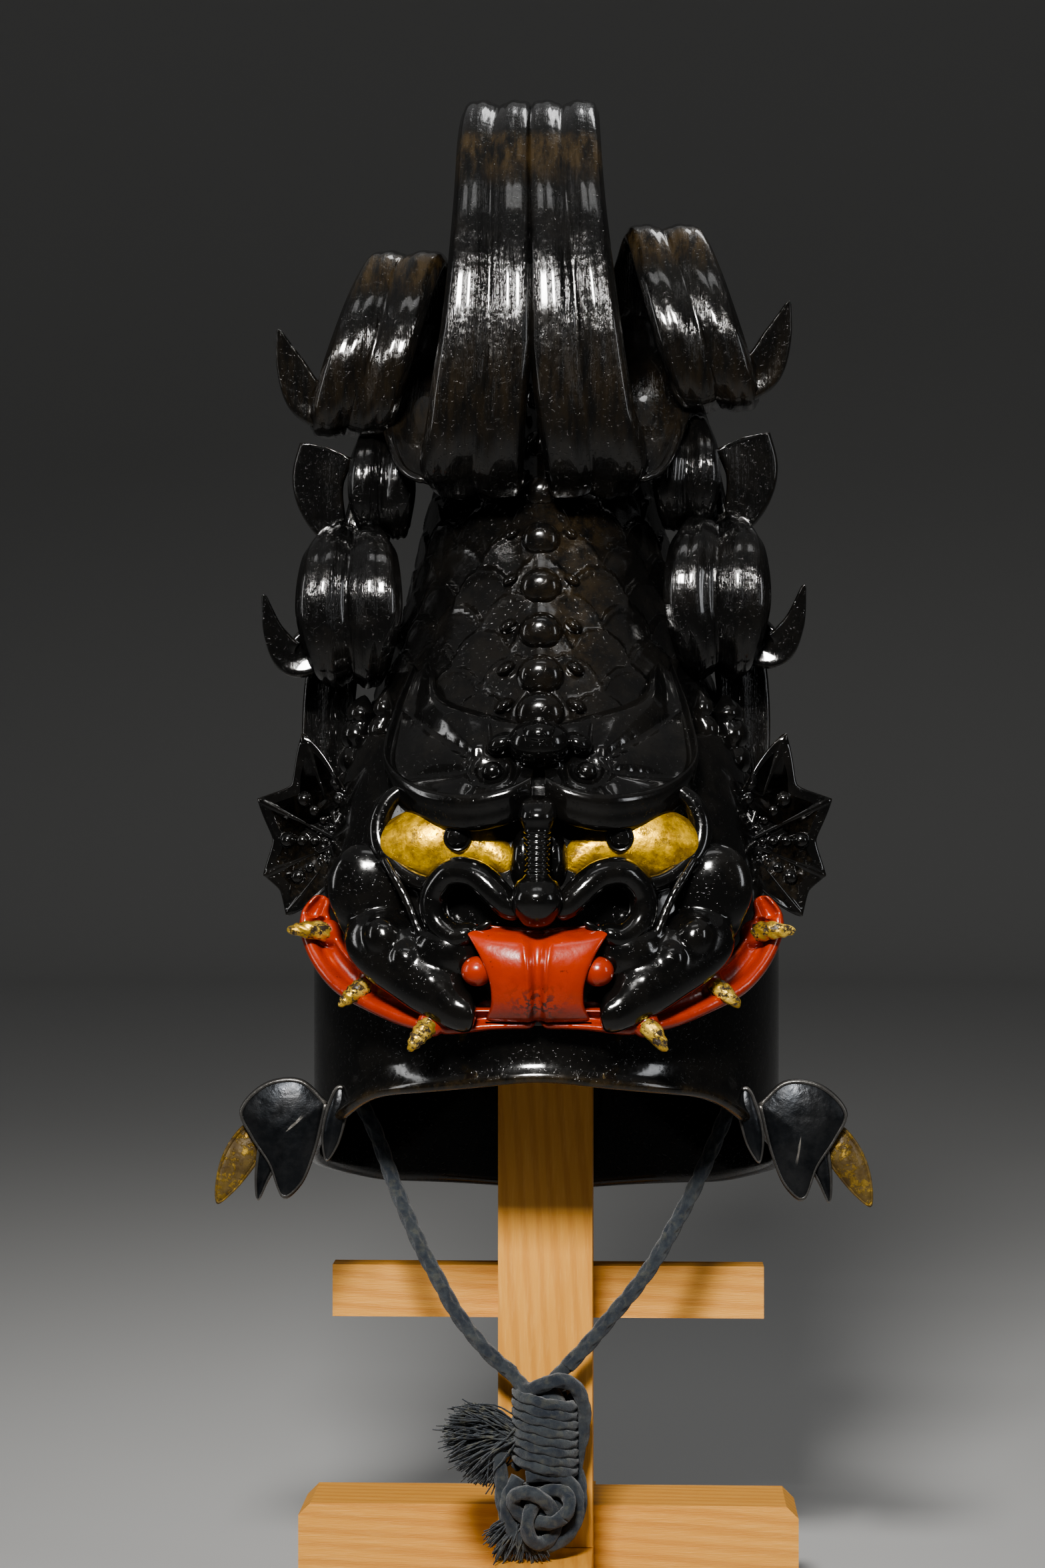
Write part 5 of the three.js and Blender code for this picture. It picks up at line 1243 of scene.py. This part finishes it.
LEAF_THICKNESS, LEAF_SETBACK, LEAF_GAP = 2.4, 68, 2.7
LEAVES = {
    "dark": (0, METAL, 3.5, [(99, 66), (112, 77), (129, 75), (141, 62), (136, 50), (127, 36),
                             (120, 20), (112, 26), (105, 42)]),
    "inner": (-1, METAL, 2.0, [(88, 72), (94, 74), (98.5, 66), (102, 50), (100, 38), (95, 45),
                               (91, 58)]),
    "spike": (1, METAL, 1.0, [(120, 50), (129, 50), (133, 36), (132.5, 19), (128, 28), (122, 40)]),
    "gold": (2, GOLD_PETAL, 2.5, [(128, 50), (136, 56), (146, 46), (152, 30), (152, 17), (145, 22),
                                  (135, 34), (130, 42)]),
}
LEAF_PROFILE = ((0.12, 1.0), (0.3, 0.93), (0.55, 0.78), (0.75, 0.55), (0.88, 0.3), (0.96, 0.1),
                (0.99, 0.0), (1.0, -0.35), (0.99, -0.7))
LEAF_FILL, LEAF_ROLL = 0.98, (0.5, 1.1)


def make_leaf(side, sign, name):
    """A domed petal with a rolled edge that is thickest at its top."""
    back, finish, dome, outline = LEAVES[name]
    corners = np.array([(x, 0, z + RIM_LIFT) for x, z in outline + outline[:1]], float)
    edge = evenly(curve(corners, ticks(240)), 85)[:-1]
    centre = edge.mean(0)
    y = -LEAF_SETBACK + back * LEAF_GAP
    front = [(share, (1 - bulge) * LEAF_THICKNESS / 2 - LEAF_THICKNESS - dome * max(bulge, 0) + 1.2)
             for share, bulge in LEAF_PROFILE]
    rear = [(share, 0.6 - dome * max(bulge, 0) * 0.8) for share, bulge in LEAF_PROFILE[-2::-1]]
    rings = []
    for share, lift in front + rear:
        ring = centre + (edge - centre) * share * LEAF_FILL
        ring[:, 1] = y + lift
        rings.append(ring)
    roll = centre + (np.vstack([edge, edge[:1]]) - centre) * 0.93
    roll[:, 1] = y - LEAF_THICKNESS / 2 + 0.6
    size = mix(*LEAF_ROLL, (roll[:, 2] - roll[:, 2].min()) / np.ptp(roll[:, 2]))
    shells = [mirrored(skin(grid), sign) for grid in (np.array(rings), turned(roll, BACK, size, 10))]
    return make(f"petal_{name}_{side}", shells, finish, f"leaf_{name}_{side}")


for side, sign in SIDES.items():
    for name in LEAVES:
        make_leaf(side, sign, name)


# Stand: the sawn boards keep their solids, with softened edges and grain along each board

BOARD_BEVEL = 0.9 * MM

for node, axis in (("stand_post", 2), ("foot_board", 1), ("base_board", 0), ("cross_bar", 0)):
    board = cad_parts[node]
    board.data.materials.clear()
    board.data.materials.append(pine(f"pine_{node}", axis))
    soften = board.modifiers.new("Bevel", "BEVEL")
    soften.width, soften.segments, soften.limit_method = BOARD_BEVEL, 2, "ANGLE"
    soften.harden_normals = True


# Floor, backdrop and lights

STUDIO_RADIUS, STUDIO_COVE, STUDIO_HEIGHT = 5.0, 1.2, 5.0


def make_stage():
    """A round pale floor that curves up into its own wall, alike from every side."""
    cove = np.linspace(0, math.pi / 2, 14)
    profile = [(0.01, 0.0)]
    profile += [(STUDIO_RADIUS + STUDIO_COVE * math.sin(t), STUDIO_COVE * (1 - math.cos(t)))
                for t in cove]
    profile += [(STUDIO_RADIUS + STUDIO_COVE, STUDIO_HEIGHT)]
    turn = full_turn(96)
    rings = [np.stack([r * np.cos(turn), r * np.sin(turn), z + 0 * turn], -1) for r, z in profile]
    points, faces = skin(np.array(rings), caps=False)
    mesh = bpy.data.meshes.new("floor")
    mesh.from_pydata(points.tolist(), [], faces)
    mesh.shade_smooth()
    mesh.materials.append(plain("pale_floor", (0.42, 0.42, 0.415), 0.9))
    floor = bpy.data.objects.new("floor", mesh)
    bpy.context.scene.collection.objects.link(floor)


AIM = (0, 0, 0.4)
LIGHTS = {
    "key": {"at": (-0.15, -1.4, 1.22), "size": (0.32, 0.22), "power": 6.4, "spread": 66,
            "colour": (1.0, 0.98, 0.95)},
    "canopy": {"at": (0.05, -0.7, 1.75), "size": (0.8, 0.25), "power": 0.4, "spread": 90},
    "fill": {"at": (1.5, -0.8, 0.8), "size": (0.25, 0.8), "power": 1.0, "spread": 90,
             "colour": (0.95, 0.97, 1.0)},
    "side": {"at": (-1.5, -0.3, 0.8), "size": (0.2, 1.0), "power": 1.0, "spread": 90,
             "aim": (0, 0, 0.45)},
    "rear": {"at": (0.5, 1.0, 2.0), "size": (0.6, 0.4), "power": 1.5, "spread": 120},
}


def make_light(name, at, size, power, spread, aim=AIM, colour=(1, 1, 1)):
    data = bpy.data.lights.new(name, "AREA")
    data.shape, data.size, data.size_y = "RECTANGLE", *size
    data.energy, data.color, data.spread = power, colour, math.radians(spread)
    light = bpy.data.objects.new(name, data)
    light.location = at
    way = np.array(aim) - np.array(at)
    flat = math.hypot(way[0], way[1])
    light.rotation_euler = (math.atan2(flat, -way[2]), 0, math.atan2(way[1], way[0]) - math.pi / 2)
    bpy.context.scene.collection.objects.link(light)


make_stage()
for name, settings in LIGHTS.items():
    make_light(name, **settings)

world = bpy.data.worlds.new("world")
world.use_nodes = True
world.node_tree.nodes["Background"].inputs["Color"].default_value = (0.5, 0.5, 0.5, 1)
world.node_tree.nodes["Background"].inputs["Strength"].default_value = 0.37
bpy.context.scene.world = world
bpy.context.scene.view_settings.look = "AgX - Medium High Contrast"
